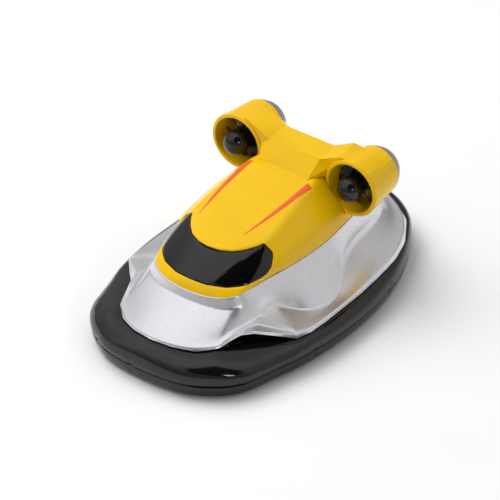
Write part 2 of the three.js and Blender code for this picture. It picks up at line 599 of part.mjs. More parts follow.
// The same, pointing down.
function screwDown(headR, headZ, headH, shankR, length, x, y) {
  const body = turnedZ(
    [[0, headZ - length], [shankR, headZ - length + 0.6], [shankR, headZ - headH], [headR, headZ - headH],
      [headR, headZ - headH * 0.4], [headR * 0.7, headZ], [0, headZ]],
    x, y, 8,
  );
  const slot = (w, d) => box([x - w, x + w], [y - d, y + d], [headZ - headH * 0.45, headZ + 1]);
  return body.subtract(slot(headR * 0.7, 0.2)).subtract(slot(0.2, headR * 0.7));
}

// ---------------------------------------------------------------- charging port on the stern wall

// Puts a piece that points along +Z on the deck's stern wall, its base on the wall.
const onSternWall = (geometry) =>
  solid(geometry.rotateX(-(Math.PI / 2 - PLUG_TILT)).translate(0, 51.9, 18.7));
const lathe = (profile, sides = 12) =>
  new THREE.LatheGeometry(profile.map(([r, y]) => new THREE.Vector2(r, y)), sides).rotateX(Math.PI / 2);

function plugHole(r) {
  return onSternWall(lathe([[0, -3], [r, -3], [r, 3], [0, 3]]));
}
function chargePlug() {
  return onSternWall(lathe([[0, -1.8], [1.5, -1.8], [1.5, 0.3], [2.7, 0.3], [2.7, 0.9], [2.2, 1.3], [0, 1.3]]));
}
function chargeSocket() {
  const body = new THREE.BoxGeometry(6, 4.6, 4).translate(0, 0, -4.3);
  return onSternWall(body).subtract(onSternWall(lathe([[0, -5.3], [1.2, -5.3], [1.2, 0], [0, 0]], 10)));
}

// ---------------------------------------------------------------- the pieces in place

add("lower_hull", lowerHull(), BLACK_GLOSS);
add("skirt", skirt(), BLACK_GLOSS);
add("hull_seal", ringLoft([
  atZ(moved(OUTLINE, 2.3, 0), 3.9), atZ(moved(OUTLINE, 2.3, 0), 5.3), atZ(moved(OUTLINE, 3.1, 0), 5.3),
  atZ(moved(OUTLINE, 3.1, 0), 3.9),
]), RUBBER);
add("deck", deck(), SILVER);
add("canopy", canopyShell, YELLOW);
add("windshield", windshieldStrip(0, 0.9, 0), GLASS_BLACK);
add("duct_bridge", ductBridge(), YELLOW);

for (const [name, side] of SIDES) {
  const x = side * SHAFT_X;
  add(name + "_exhaust_nozzle", nozzle(side), GREY);
  add(name + "_fan_rotor", fanRotor(side), BLACK_GLOSS);
  add(name + "_fan_stator", fanStator(side), BLACK_MATT);
  add(name + "_fan_pin", rodY(FAN_PIN_R, FAN_Y - 0.2, STATOR_Y + 2.2, side * DUCT_X, DUCT_Z, 12), STEEL);
  add(name + "_motor", motor(side), STEEL);
  add(name + "_motor_shaft", rodY(SHAFT_R, COUPLING_Y - 4.2, COUPLING_Y + 2.7, x, SHAFT_Z, 12), STEEL);
  add(name + "_shaft_coupling", sleeveY(1.7, SHAFT_R + 0.1, COUPLING_Y, COUPLING_Y + 6, x, SHAFT_Z, 12), RUBBER);
  add(name + "_propeller_shaft", rodY(SHAFT_R, COUPLING_Y + 3.1, PROP_Y + 0.8, x, SHAFT_Z, 12), STEEL);
  add(name + "_stern_tube", sleeveY(1.9, SHAFT_R + 0.25, COUPLING_Y + 6.6, POCKET_Y[0] + 0.4, x, SHAFT_Z, 16), BRASS);
  add(name + "_propeller", propeller(side), BLACK_MATT);
  add(name + "_propeller_guard", guard(side), BLACK_MATT);
  add(name + "_motor_lead", wire([
    [x, 1.4, SHAFT_Z], [x, -0.6, 7.4], [side * 12.4, -2.6, 10.6], [side * 9, -2.4, 12.6], [side * 6.6, -0.8, 11.6],
  ], 0.5), WIRE_RED);
  add(name + "_water_contact", rodZ(0.7, 0.3, 3.4, side * 6, 24, 10), STEEL);
  add(name + "_bracket_screw", screwDown(1.6, 5.9, 1, 0.75, 3.4, side * 5, 9), SCREW);
  add(name + "_board_screw", screwDown(1.4, 12, 0.9, 0.6, 5, side * 7.5, 14), SCREW);
  SCREWS.forEach(([sx, sy], i) =>
    add(name + "_hull_screw_" + (i + 1), screwUp(1.9, 0.3, 0.8, 1, 7.6, side * sx, sy), SCREW));
}

add("motor_bracket", motorBracket(), BLACK_MATT);
add("battery", roundedBox([-8.4, 8.4], [-40, -12.4], [2, 9.4], 1.4), CELL_BLUE);
add("circuit_board", box([-9.2, 9.2], [-8, 16], [9.6, 10.7])
  .subtract(rodZ(0.9, 9, 12, 7.5, 14, 12))
  .subtract(rodZ(0.9, 9, 12, -7.5, 14, 12)), BOARD_GREEN);
add("radio_module", box([-4, 4], [2, 10], [11, 12.6]), STEEL);
add("power_switch", box([-3, 3], [SWITCH_Y - 4.5, SWITCH_Y + 4.5], [1.9, 6])
  .subtract(box([-1.3, 1.3], [SWITCH_Y - 3.1, SWITCH_Y + 3.1], [1, 4.2])), STEEL);
add("switch_knob", box([-1, 1], [SWITCH_Y - 2.9, SWITCH_Y - 0.1], [0.4, 3.8]), BLACK_MATT);
add("charge_socket", chargeSocket(), BLACK_MATT);
add("charge_plug", chargePlug(), RUBBER);
add("battery_lead", wire([[3, -12, 7.6], [3, -10.6, 8.6], [3, -9.4, 11], [3, -7.8, 12.4], [3, -5.6, 11.6]], 0.5), WIRE_RED);
add("charge_lead", wire([[0, 45.2, 16], [0, 42, 14.6], [0, 32, 13.2], [0, 20, 13], [0, 13.6, 11.6]], 0.5), WIRE_RED);

export default boat;
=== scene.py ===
"""Looks for a miniature hovercraft-style radio-controlled boat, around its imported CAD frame.

+Z is up, -Y is the bow and +X is port. The tables below hold points in millimetres for the port half of
the boat, from the bow's middle to the stern's middle; they are mirrored to starboard.
"""

import math

import bmesh
import bpy
from mathutils import Matrix, Vector
from mathutils.bvhtree import BVHTree


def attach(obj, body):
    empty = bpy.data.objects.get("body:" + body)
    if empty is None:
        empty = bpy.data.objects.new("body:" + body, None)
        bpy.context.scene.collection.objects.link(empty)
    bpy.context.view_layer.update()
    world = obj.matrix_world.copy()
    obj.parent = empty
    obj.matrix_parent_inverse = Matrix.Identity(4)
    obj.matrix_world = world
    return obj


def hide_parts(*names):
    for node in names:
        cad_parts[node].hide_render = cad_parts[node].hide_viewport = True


MM = 0.001
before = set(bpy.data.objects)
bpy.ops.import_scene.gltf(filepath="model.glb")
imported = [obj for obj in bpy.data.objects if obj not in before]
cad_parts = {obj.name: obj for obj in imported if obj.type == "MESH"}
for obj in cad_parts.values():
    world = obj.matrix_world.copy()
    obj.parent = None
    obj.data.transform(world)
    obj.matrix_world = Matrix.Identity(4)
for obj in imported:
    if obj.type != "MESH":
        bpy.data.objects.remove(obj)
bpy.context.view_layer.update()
FINE = 3  # subdivision levels of the shells
SIDES = (("port", 1), ("starboard", -1))

# ---------------------------------------------------------------- dimensions, in millimetres

SEAM_Z = 5.2
HULL_RIM_Z = 4.9
DUCT_X, DUCT_Z = 23.5, 41.0
DUCT_FRONT_Y, DUCT_LENGTH = 17.7, 16.0
DUCT_FRONT_R, DUCT_REAR_R = 10.3, 8.4
MOUTH_R, THROAT_R = 8.85, 7.2
NOZZLE_LENGTH = 3.4
FAN_Y = DUCT_FRONT_Y + 4.8  # middle of the blades
FAN_BACK_Y = DUCT_FRONT_Y + 8.8
FAN_NOSE_R, FAN_TIP_R, FAN_BLADES = 4.4, 7.6, 8
SHAFT_X, SHAFT_Z = 14.0, 6.4
POCKET_R, POCKET_Y, POCKET_WALL = 5.3, (36.0, 48.5), 1.1
PROP_Y, PROP_TIP_R, PROP_BLADES = 42.0, 4.45, 3
DECK_WALL, CANOPY_WALL, GLASS_WALL = 0.9, 1.1, 0.7
CONTACT_X, CONTACT_Y = 6, 24
SCREWS = ((14, -53), (30, -37), (34.5, 6), (24, 43.6))
SWITCH_Y = -2.0
PLUG_AT, PLUG_TILT = (0, 51.9, 18.7), 0.37

OUTLINE = [
    (0, -65, 0), (9, -64.5, 0), (17, -62.8, 0), (24.5, -58.6, 0), (29.5, -54, 0), (32.6, -49, 0),
    (34.4, -43, 0), (36.2, -36, 0), (38.2, -28.5, 0), (39.7, -19, 0), (40.6, -10, 0), (40.8, 0, 0),
    (40.4, 9, 0), (39.3, 18, 0), (37.4, 27, 0), (34, 37, 0), (29, 47, 0), (21.5, 56.6, 0),
    (11.5, 63, 0), (0, 65, 0),
]
SKIRT_TOP = [
    (0, -58.3, 13.5), (7.8, -57.1, 13.1), (14.9, -53.9, 12.6), (19.9, -49.5, 13.0), (21.5, -45, 12.4),
    (22.9, -40.6, 11.7), (25, -34.8, 11.2), (28, -30.2, 10.8), (33.8, -26.4, 10.3), (35.7, -20.4, 10.1),
    (36.1, -13, 10.1), (36.1, -2.6, 10.1), (36, 7, 10.2), (35.4, 16.8, 10.4), (34.8, 23, 10.6),
    (33.9, 29.4, 10.8), (31.2, 38.6, 11.2), (24.1, 49.8, 11.7), (11.5, 57.4, 12.1), (0, 59.4, 12.2),
]

DECK_ROWS = {
    "foot": [
        (0, -40.8, 23.4), (6, -40.4, 23.5), (11.5, -39, 23.8), (15.3, -36.9, 24.3), (17.2, -34.6, 24.9),
        (18, -32, 25.2), (18.4, -29.2, 25.2), (18.7, -26.2, 25.1), (19.1, -22.8, 25.1), (19.9, -18, 25.1),
        (21, -11.8, 25.1), (21.9, -3, 25.2), (22.2, 4.5, 25.4), (22, 12, 25.8), (21.4, 19.5, 26.3),
        (20.4, 28, 26.6), (17.9, 37.2, 26.6), (13.6, 43.8, 26.3), (7, 47.5, 26), (0, 48.5, 26),
    ],
    "riser": [
        (0, -42, 20.6), (6.4, -41.6, 20.6), (12.4, -40.1, 20.5), (16.7, -37.7, 20.8), (18.8, -34.9, 21.6),
        (19.8, -32, 22.2), (20.3, -29.2, 22.4), (20.6, -26.2, 22.4), (21.1, -22.6, 22.2),
        (22.1, -17.6, 22), (23.6, -11.6, 21.8), (24.6, -3, 21.6), (24.3, 4.5, 22), (23.1, 12.2, 22.8),
        (22.2, 19.8, 23.3), (21.2, 28.4, 23.6), (18.9, 38, 23.5), (14.6, 45, 23.2), (7.6, 49, 22.9),
        (0, 50.1, 22.9),
    ],
    "wall": [
        (0, -46.3, 19), (6.9, -45.7, 18.9), (13.1, -43.9, 18.6), (17.6, -40.4, 19.2), (19.4, -36.8, 19.4),
        (20.6, -33.2, 19.8), (21.6, -29.7, 19.9), (21.6, -26.4, 19.7), (22.2, -22.6, 19.3),
        (24.4, -17.2, 18.6), (27.2, -11.9, 18), (28.4, -2.8, 17.6), (26.8, 4.9, 18.6), (24, 12.7, 20.2),
        (22.6, 20.2, 20.9), (21.7, 28.8, 21.1), (19.6, 38.8, 20.9), (15.4, 46, 20.5), (8.1, 50.3, 20.2),
        (0, 51.5, 20.2),
    ],
    "crease": [
        (0, -50.6, 17.4), (7.3, -49.9, 17.2), (13.7, -47.6, 16.8), (18.4, -43.3, 17.5),
        (20.1, -39.3, 17.6), (21.3, -35.3, 17.7), (22.6, -30.4, 17.6), (22, -27, 17.3),
        (22.6, -22.8, 16.9), (26.9, -17.4, 14.6), (31.4, -14.2, 13.1), (33, -3.6, 13.1),
        (30.3, 4.2, 15.2), (24.9, 12.6, 17.9), (22.7, 20, 18.8), (22, 28.6, 18.9), (20.2, 39.4, 18.8),
        (16.1, 46.8, 18.4), (8.5, 51.2, 18.1), (0, 52.4, 18.1),
    ],
    "step": [
        (0, -54.2, 16), (7.6, -53.4, 15.8), (14.2, -50.6, 15.3), (19.1, -45.8, 15.9), (20.7, -41.5, 16.2),
        (21.9, -37.2, 16.4), (23.1, -31, 17.2), (26.9, -28.9, 15.9), (34.5, -26, 13.2),
        (34, -20.8, 12.7), (33.6, -13.6, 12.4), (33.3, -3.4, 12.5), (30.9, 4.6, 13.9),
        (25.7, 13.2, 16.2), (23.4, 20.4, 16.9), (22.7, 29, 17), (20.9, 40, 17), (16.7, 47.5, 16.8),
        (8.9, 52, 16.6), (0, 53.3, 16.6),
    ],
    "ledge": [
        (0, -56.9, 15.1), (7.8, -55.9, 14.8), (14.7, -52.9, 14.3), (19.6, -47.6, 14.9),
        (21.9, -44.0, 16.4), (23.1, -39.8, 16.8), (24.9, -34.9, 17.0), (28.4, -31.8, 15.5),
        (34.7, -26.2, 13), (35.3, -21.2, 12.4), (35.2, -13.4, 12.2), (34.8, -3.2, 12.2),
        (33.6, 6, 12.6), (30, 15, 13.6), (28.6, 21.6, 13.9), (28.2, 28.6, 14.1), (26, 38.2, 14.3),
        (20, 48.3, 14.3), (10.4, 54.3, 14.2), (0, 56, 14.2),
    ],
    "rim": [
        (0, -58.7, 14.7), (7.9, -57.4, 14.3), (15, -54.2, 13.8), (20.2, -49, 14.3), (21.6, -44.9, 15.4),
        (22.8, -40.6, 15.8), (25.4, -36.9, 15.5), (29.2, -33.2, 14.4), (35, -26.5, 12.7),
        (36.1, -20.6, 12.2), (36.4, -13.2, 12.1), (36.4, -2.8, 12.1), (36.3, 6.6, 12.2),
        (35.7, 16.4, 12.5), (35.1, 22.6, 12.8), (34.2, 29.2, 13.1), (31.4, 38.6, 13.6),
        (24.2, 49.8, 14), (11.5, 57.4, 14.3), (0, 59.4, 14.4),
    ],
    "edge": [
        (0, -59, 13.9), (8, -57.7, 13.5), (15.1, -54.5, 13), (20.4, -49.2, 13.5), (21.8, -45.1, 14.6),
        (23, -40.8, 15), (25.6, -37.1, 14.7), (29.3, -33.3, 13.5), (34.8, -26.2, 10.4),
        (36.3, -20.4, 10.4), (36.7, -13, 10.4), (36.7, -2.6, 10.4), (36.6, 7, 10.5), (36, 16.8, 10.7),
        (35.4, 23, 10.9), (34.5, 29.6, 11.1), (31.7, 39, 11.5), (24.5, 50.3, 12), (11.7, 58, 12.4),
        (0, 60, 12.5),
    ],
}

CANOPY_LOWER = [
    (0, -38.7, 26.8), (6.2, -37.9, 26.7), (12.2, -35.4, 26.7), (15.6, -32.8, 26.9), (17.8, -30.2, 27),
    (19.2, -26.8, 27.2), (20, -23.2, 27.6), (19.9, -19.5, 28.9), (20.6, -16.6, 29.7), (21.2, -12, 30.3),
    (21.6, -7.5, 30.6), (22, -0.5, 31), (22, 4.5, 31.2), (21.8, 11.5, 31.4), (21.3, 18, 31.5),
    (20, 27, 31.3), (17.2, 36, 30.6), (12.8, 42, 29.8), (6.6, 45.6, 29.4), (0, 46.5, 29.4),
]
CANOPY_SHOULDER = [
    (0, -28.4, 33.8), (4.2, -27.8, 33.9), (8.2, -26, 34.2), (11, -23.6, 34.5), (12.8, -21.4, 34.9),
    (14, -19.5, 35.2), (14.6, -18.4, 35.4), (15, -17.2, 35.6), (15, -13.5, 36.4), (14.8, -9, 37.4),
    (14.5, -5, 38.3), (14, 0.5, 39.5), (13.6, 5, 40.4), (13.1, 10.8, 41.4), (12.4, 16.5, 41.5),
    (11.6, 26, 41.5), (10.5, 33, 38.4), (8.5, 38, 35.4), (4.5, 41, 33.6), (0, 41.6, 33.4),
]
DIMPLES = ((22.3, -12.5, 30.9), (22.4, -8.6, 31.2))
DIMPLE_R = 1.1
STRIPES = {"port": ((7.3, -19.3), (12.3, 10.6)), "starboard": ((11.9, -17.9), (12.4, 10.6))}
GLASS_COLUMNS = 7  # the windshield spans this many stations each side of the middle
GLASS_SUNK = (0.12, 0.15, 0.4)  # how far its lower, middle and upper rows lie below the canopy
FLANGE_REACH = 0.45  # the part of the next column that its flange covers
RAY_START_Z = 80  # above the whole boat

# ---------------------------------------------------------------- points and meshes


def ring(half):
    """The closed loop of a port half, as vectors in metres."""
    points = [Vector(p) * MM for p in half]
    return points + [Vector((-p.x, p.y, p.z)) for p in reversed(points[1:-1])]


def outward(loop):
    """The level outward direction at each point of a closed loop."""
    n = len(loop)
    out = []
    for i in range(n):
        along = loop[(i + 1) % n] - loop[i - 1]
        out.append(Vector((along.y, -along.x, 0)).normalized())
    return out


def moved(loop, inset, rise=0.0):
    """A loop moved inwards and up, in millimetres."""
    return [p - o * inset * MM + Vector((0, 0, rise * MM)) for p, o in zip(loop, outward(loop))]


def at_height(loop, z):
    return [Vector((p.x, p.y, z * MM)) for p in loop]


def smooth_loop(loop, steps):
    """A Catmull-Rom curve through a closed loop, with the same number of steps between each pair."""
    n = len(loop)
    out = []
    for i in range(n):
        a, b, c, d = (loop[(i + k) % n] for k in (-1, 0, 1, 2))
        for s in range(steps):
            t = s / steps
            square, cube = 2 * a - 5 * b + 4 * c - d, 3 * b - a - 3 * c + d
            out.append(0.5 * (2 * b + (c - a) * t + square * t * t + cube * t**3))
    return out


def add_object(name, mesh, material, body="boat"):
    obj = bpy.data.objects.new(name, mesh)
    bpy.context.scene.collection.objects.link(obj)
    mesh.materials.clear()
    mesh.materials.append(material)
    mesh.shade_smooth()
    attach(obj, body)
    return obj


def mesh_from(name, verts, faces):
    mesh = bpy.data.meshes.new(name)
    mesh.from_pydata([tuple(v) for v in verts], [], faces)
    mesh.validate()
    return mesh


def band_faces(rows, n):
    """Quads between closed rows of n points that go outwards or down, wound to face up and out."""
    faces = []
    for r in range(rows - 1):
        for i in range(n):
            j = (i + 1) % n
            faces.append((r * n + i, (r + 1) * n + i, (r + 1) * n + j, r * n + j))
    return faces


def strip_faces(rows, count):
    """Quads of an open sheet of rows that go upwards, wound to face out."""
    faces = []
    for r in range(rows - 1):
        for i in range(count - 1):
            a, b = r * count + i, (r + 1) * count + i
            faces.append((a, a + 1, b + 1, b))
    return faces


def turned(profile, sides, closed):
    """Vertices and faces of a profile of (radius, distance) in millimetres, turned about +Y."""
    verts, faces = [], []
    m = len(profile)
    for k in range(sides):
        a = 2 * math.pi * k / sides
        for r, y in profile:
            verts.append(Vector((r * math.cos(a), y, r * math.sin(a))) * MM)
    for k in range(sides):
        nk = (k + 1) % sides
        for i in range(m if closed else m - 1):
            j = (i + 1) % m
            faces.append((k * m + i, nk * m + i, nk * m + j, k * m + j))
    return verts, faces


def turned_mesh(name, profile, sides=96, closed=False):
    verts, faces = turned(profile, sides, closed)
    mesh = mesh_from(name, verts, faces)
    bm = bmesh.new()
    bm.from_mesh(mesh)
    bmesh.ops.remove_doubles(bm, verts=bm.verts, dist=1e-7)
    bmesh.ops.recalc_face_normals(bm, faces=bm.faces)
    bm.to_mesh(mesh)
    bm.free()
    return mesh


def crease_layer(bm):
    return bm.edges.layers.float.get("crease_edge") or bm.edges.layers.float.new("crease_edge")


def crease_row(bm, n, row, first, last, weight):
    """Creases the edges of a row between two stations, on both sides of the boat."""
    layer = crease_layer(bm)
    for i in range(first, last):
        for a, b in ((i, i + 1), ((n - i) % n, (n - i - 1) % n)):
            edge = bm.edges.get((bm.verts[row * n + a], bm.verts[row * n + b]))
            if edge:
                edge[layer] = weight


def crease_column(bm, n, column, first, last, weight):
    """Creases the edges of a station between two rows, on both sides of the boat."""
    layer = crease_layer(bm)
    for r in range(first, last):
        for c in (column, (n - column) % n):
            edge = bm.edges.get((bm.verts[r * n + c], bm.verts[(r + 1) * n + c]))
            if edge:
                edge[layer] = weight


def pin_point(bm, n, row, column, weight):
    """Creases a point on both sides of the boat, so that smoothing keeps its corner."""
    layer = bm.verts.layers.float.get("crease_vert") or bm.verts.layers.float.new("crease_vert")
    for c in (column, (n - column) % n):
        bm.verts[row * n + c][layer] = weight


def solidify(obj, thickness, outer=0.0, rim=0.8):
    """Thickens a sheet inwards, with creased borders."""
    mod = obj.modifiers.new("thickness", "SOLIDIFY")
    mod.thickness = thickness * MM
    mod.offset = -1
    mod.edge_crease_outer = outer
    mod.edge_crease_rim = rim


def subdivide(obj, levels):
    mod = obj.modifiers.new("smooth", "SUBSURF")
    mod.levels = levels
    mod.render_levels = levels
    mod.boundary_smooth = "ALL"
    return mod


def pass_through(obj, rounds=5):
    """Moves a cage's points so that its smoothed surface passes through where they were."""
    wanted = [v.co.copy() for v in obj.data.vertices]
    mod = subdivide(obj, 1)
    for _ in range(rounds):
        smooth = obj.evaluated_get(bpy.context.evaluated_depsgraph_get()).data
        shifts = [want - smooth.vertices[i].co for i, want in enumerate(wanted)]
        for v, shift in zip(obj.data.vertices, shifts):
            v.co += shift
        obj.data.update()
        bpy.context.view_layer.update()
    obj.modifiers.remove(mod)


def bevel(obj, width, segments=3, angle=30):
    mod = obj.modifiers.new("edges", "BEVEL")
    mod.width = width * MM
    mod.segments = segments
    mod.limit_method = "ANGLE"
    mod.angle_limit = math.radians(angle)


def bake_modifiers(obj, sharp=None):
    """Replaces an object's mesh with its evaluated mesh."""
    deps = bpy.context.evaluated_depsgraph_get()
    mesh = bpy.data.meshes.new_from_object(obj.evaluated_get(deps))
    obj.modifiers.clear()
    obj.data = mesh
    mesh.shade_smooth()
    if sharp is not None:
        mesh.set_sharp_from_angle(angle=math.radians(sharp))


def combine(target, cutter, operation):
    """Joins or cuts a target with a cutter, which is then removed."""
    mod = target.modifiers.new("combine", "BOOLEAN")
    mod.operation = operation
    mod.solver = "MANIFOLD"
    mod.object = cutter
    deps = bpy.context.evaluated_depsgraph_get()
    mesh = bpy.data.meshes.new_from_object(target.evaluated_get(deps))
    target.modifiers.remove(mod)
    target.data = mesh
    bpy.data.objects.remove(cutter)


def loose(name, mesh):
    """An object that is only a tool for making another."""
    obj = bpy.data.objects.new(name, mesh)
    bpy.context.scene.collection.objects.link(obj)
    return obj


def cut(target, name, mesh):
    combine(target, loose(name, mesh), "DIFFERENCE")


def join(target, name, mesh):
    combine(target, loose(name, mesh), "UNION")


def placed(mesh, x=0.0, y=0.0, z=0.0, turn=None):
    """A mesh turned, then moved, in millimetres."""
    if turn:
        mesh.transform(turn)
    mesh.transform(Matrix.Translation(Vector((x, y, z)) * MM))
    return mesh


def hull_mesh(name, points):
    """The convex hull of points in millimetres."""
    bm = bmesh.new()
    for p in points:
        bm.verts.new(Vector(p) * MM)
    bmesh.ops.convex_hull(bm, input=bm.verts)
    mesh = bpy.data.meshes.new(name)
    bm.to_mesh(mesh)
    bm.free()
    return mesh


def block(name, lo, hi):
    """A box between two opposite corners, in millimetres."""
    corners = [(x, y, z) for x in (lo[0], hi[0]) for y in (lo[1], hi[1]) for z in (lo[2], hi[2])]
    return hull_mesh(name, corners)


def shade_sharp(obj, degrees):
    """Smooth shading, with edges kept sharp past an angle."""
    obj.data.shade_smooth()
    obj.data.set_sharp_from_angle(angle=math.radians(degrees))


# ---------------------------------------------------------------- materials


class Nodes:
    """A material's node tree, with its shader, ready for texture nodes."""

    def __init__(self, name, **settings):
        self.material = bpy.data.materials.new(name)
        self.material.use_nodes = True
        self.tree = self.material.node_tree
        self.shader = self.tree.nodes["Principled BSDF"]
        for key, value in settings.items():
            self.shader.inputs[key.replace("_", " ")].default_value = value
        self.place = self.new("ShaderNodeTexCoord").outputs["Object"]

    def new(self, kind, **props):
        node = self.tree.nodes.new(kind)
        for key, value in props.items():
            setattr(node, key, value)
        return node

    def link(self, a, b):
        self.tree.links.new(a, b)

    def noise(self, scale, detail=3.0, roughness=0.55):
        node = self.new("ShaderNodeTexNoise")
        node.inputs["Scale"].default_value = scale
        node.inputs["Detail"].default_value = detail
        node.inputs["Roughness"].default_value = roughness
        self.link(self.place, node.inputs["Vector"])
        return node.outputs["Fac"]

    def cells(self, scale):
        node = self.new("ShaderNodeTexVoronoi")
        node.inputs["Scale"].default_value = scale
        self.link(self.place, node.inputs["Vector"])
        return node.outputs["Color"]

    def ramp(self, value, stops):
        node = self.new("ShaderNodeValToRGB")
        for i, (at, color) in enumerate(stops):
            point = node.color_ramp.elements[i] if i < 2 else node.color_ramp.elements.new(at)
            point.position = at
            point.color = (*color, 1)
        self.link(value, node.inputs["Fac"])
        return node.outputs["Color"]

    def spread(self, value, low, high):
        node = self.new("ShaderNodeMapRange")
        node.inputs["From Min"].default_value = 0.3
        node.inputs["From Max"].default_value = 0.7
        node.inputs["To Min"].default_value = low
        node.inputs["To Max"].default_value = high
        self.link(value, node.inputs["Value"])
        return node.outputs["Result"]

    def bump(self, height, strength, distance):
        node = self.new("ShaderNodeBump")
        node.inputs["Strength"].default_value = strength
        node.inputs["Distance"].default_value = distance * MM
        self.link(height, node.inputs["Height"])
        self.link(node.outputs["Normal"], self.shader.inputs["Normal"])

    def color(self, output):
        self.link(output, self.shader.inputs["Base Color"])

    def roughness(self, output):
        self.link(output, self.shader.inputs["Roughness"])


def shade(color, factor):
    return tuple(min(1.0, c * factor) for c in color)


def moulded(name, color, rough, vary=0.06, tone=0.06, grain=900, grain_strength=0.05, **settings):
    """Moulded plastic: faint flow marks in colour and gloss, over a fine surface texture."""
    nodes = Nodes(name, **settings)
    flow = nodes.noise(140, 4)
    nodes.color(nodes.ramp(flow, [(0.3, shade(color, 1 - tone)), (0.7, shade(color, 1 + tone))]))
    nodes.roughness(nodes.spread(nodes.noise(420, 5, 0.65), rough, rough + vary))
    nodes.bump(nodes.noise(grain, 3), grain_strength, 0.05)
    return nodes.material


def flake_paint(name, color, rough, **settings):
    """Metallic paint: flakes that catch the light one by one."""
    nodes = Nodes(name, **settings)
    flakes = nodes.cells(6500)
    nodes.color(nodes.ramp(flakes, [(0.1, shade(color, 0.86)), (0.5, color), (0.95, shade(color, 1.12))]))
    nodes.roughness(nodes.spread(nodes.noise(900, 4), rough, rough + 0.08))
    nodes.bump(flakes, 0.1, 0.03)
    return nodes.material


def metal(name, color, rough, streak=(1, 1, 1), **settings):
    """Drawn or ground metal: fine streaks in colour, gloss and height."""
    nodes = Nodes(name, Metallic=1.0, **settings)
    stretch = nodes.new("ShaderNodeMapping")
    stretch.inputs["Scale"].default_value = streak
    nodes.link(nodes.place, stretch.inputs["Vector"])
    nodes.place = stretch.outputs["Vector"]
    lines = nodes.noise(1500, 5, 0.7)
    nodes.color(nodes.ramp(lines, [(0.3, shade(color, 0.82)), (0.7, shade(color, 1.1))]))
    nodes.roughness(nodes.spread(lines, rough, rough + 0.15))
    nodes.bump(lines, 0.12, 0.02)
    return nodes.material


YELLOW = moulded("yellow_gloss", (0.87, 0.52, 0.001), 0.22, tone=0.03, grain=600, grain_strength=0.03,
                 Coat_Weight=0.12, Coat_Roughness=0.08, Specular_IOR_Level=0.2)
BLACK = moulded("hull_black", (0.0045, 0.0042, 0.0062), 0.1, tone=0.15, grain=500, grain_strength=0.02)
GLASS = moulded("windshield_black", (0.0016, 0.0014, 0.0016), 0.03, vary=0.02, tone=0.1, grain=400,
                grain_strength=0.006)
FAN_BLACK = moulded("fan_black", (0.005, 0.0045, 0.006), 0.13, tone=0.2, grain_strength=0.03)
MATT_BLACK = moulded("matt_black", (0.018, 0.018, 0.02), 0.45, vary=0.12, tone=0.2, grain=2500,
                     grain_strength=0.25)
SATIN_BLACK = moulded("satin_black", (0.016, 0.016, 0.018), 0.32, vary=0.1, tone=0.2, grain=1800,
                      grain_strength=0.15)
RUBBER = moulded("rubber", (0.012, 0.012, 0.013), 0.62, vary=0.15, tone=0.25, grain=3200,
                 grain_strength=0.4)
SILVER = flake_paint("silver_flake", (0.74, 0.73, 0.76), 0.27, Metallic=0.88, Coat_Weight=0.1,
                     Coat_Roughness=0.2)
GREY = flake_paint("nozzle_grey", (0.3, 0.295, 0.34), 0.36, Metallic=0.45, Coat_Weight=0.1,
                   Coat_Roughness=0.2)
ORANGE = moulded("orange_print", (0.86, 0.1, 0.012), 0.28, vary=0.08, tone=0.1, grain=4000,
                 grain_strength=0.06)
STEEL = metal("ground_steel", (0.55, 0.55, 0.56), 0.22, streak=(1, 0.04, 1))
SCREW_STEEL = metal("zinc_plate", (0.5, 0.51, 0.53), 0.28, streak=(1, 1, 0.2))
CAN_STEEL = metal("drawn_can", (0.6, 0.6, 0.61), 0.25, streak=(1, 0.1, 1))
BRASS = metal("brass", (0.72, 0.5, 0.2), 0.28, streak=(1, 0.06, 1))
BOARD = moulded("solder_mask", (0.01, 0.13, 0.04), 0.35, tone=0.25, grain=1500, grain_strength=0.2)
CELL = moulded("cell_wrap", (0.02, 0.09, 0.36), 0.25, vary=0.12, tone=0.15, grain=700, grain_strength=0.3)
WIRE = moulded("wire_red", (0.42, 0.015, 0.015), 0.4, vary=0.1, tone=0.15, grain=2600, grain_strength=0.2)

# ---------------------------------------------------------------- deck


# Where the deck's edges are kept crisp: row, first and last station, weight.
DECK_ROW_CREASES = (
    ("foot", 0, 19, 0.5), ("riser", 0, 4, 0.55), ("riser", 4, 6, 0.25), ("crease", 8, 11, 0.9),
    ("crease", 11, 19, 0.75), ("step", 6, 8, 1), ("ledge", 4, 8, 0.7), ("step", 11, 19, 1),
    ("rim", 0, 19, 0.75),
)
# Station, first and last row, weight.
DECK_COLUMN_CREASES = ((3, "riser", "rim", 0.45), (6, "crease", "rim", 0.5), (8, "step", "edge", 0.8))
# Corners: station, rows, weight.
DECK_PINS = ((8, ("step", "rim", "edge"), 0.8), (3, ("rim", "edge"), 0.5), (11, ("crease", "step"), 0.6))


def make_deck():
    rows = [ring(half) for half in DECK_ROWS.values()]
    flange = moved(rows[0], 1.3, -0.3)
    rows.insert(0, flange)
    row = {name: i + 1 for i, name in enumerate(DECK_ROWS)}
    n = len(flange)
    mesh = mesh_from("deck_shell", [p for points in rows for p in points], band_faces(len(rows), n))
    bm = bmesh.new()
    bm.from_mesh(mesh)
    bm.verts.ensure_lookup_table()
    for name, first, last, weight in DECK_ROW_CREASES:
        crease_row(bm, n, row[name], first, last, weight)
    for station, first, last, weight in DECK_COLUMN_CREASES:
        crease_column(bm, n, station, row[first], row[last], weight)
    for station, names, weight in DECK_PINS:
        for name in names:
            pin_point(bm, n, row[name], station, weight)
    bm.to_mesh(mesh)
    bm.free()
    deck = add_object("silver_deck", mesh, SILVER)
    solidify(deck, DECK_WALL, outer=0.5, rim=0.8)
    subdivide(deck, FINE)
    bake_modifiers(deck)
    cut(deck, "hole", stern_turned("hole", [(0, -3), (1.9, -3), (1.9, 3), (0, 3)]))
    shade_sharp(deck, 50)
    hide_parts("deck")


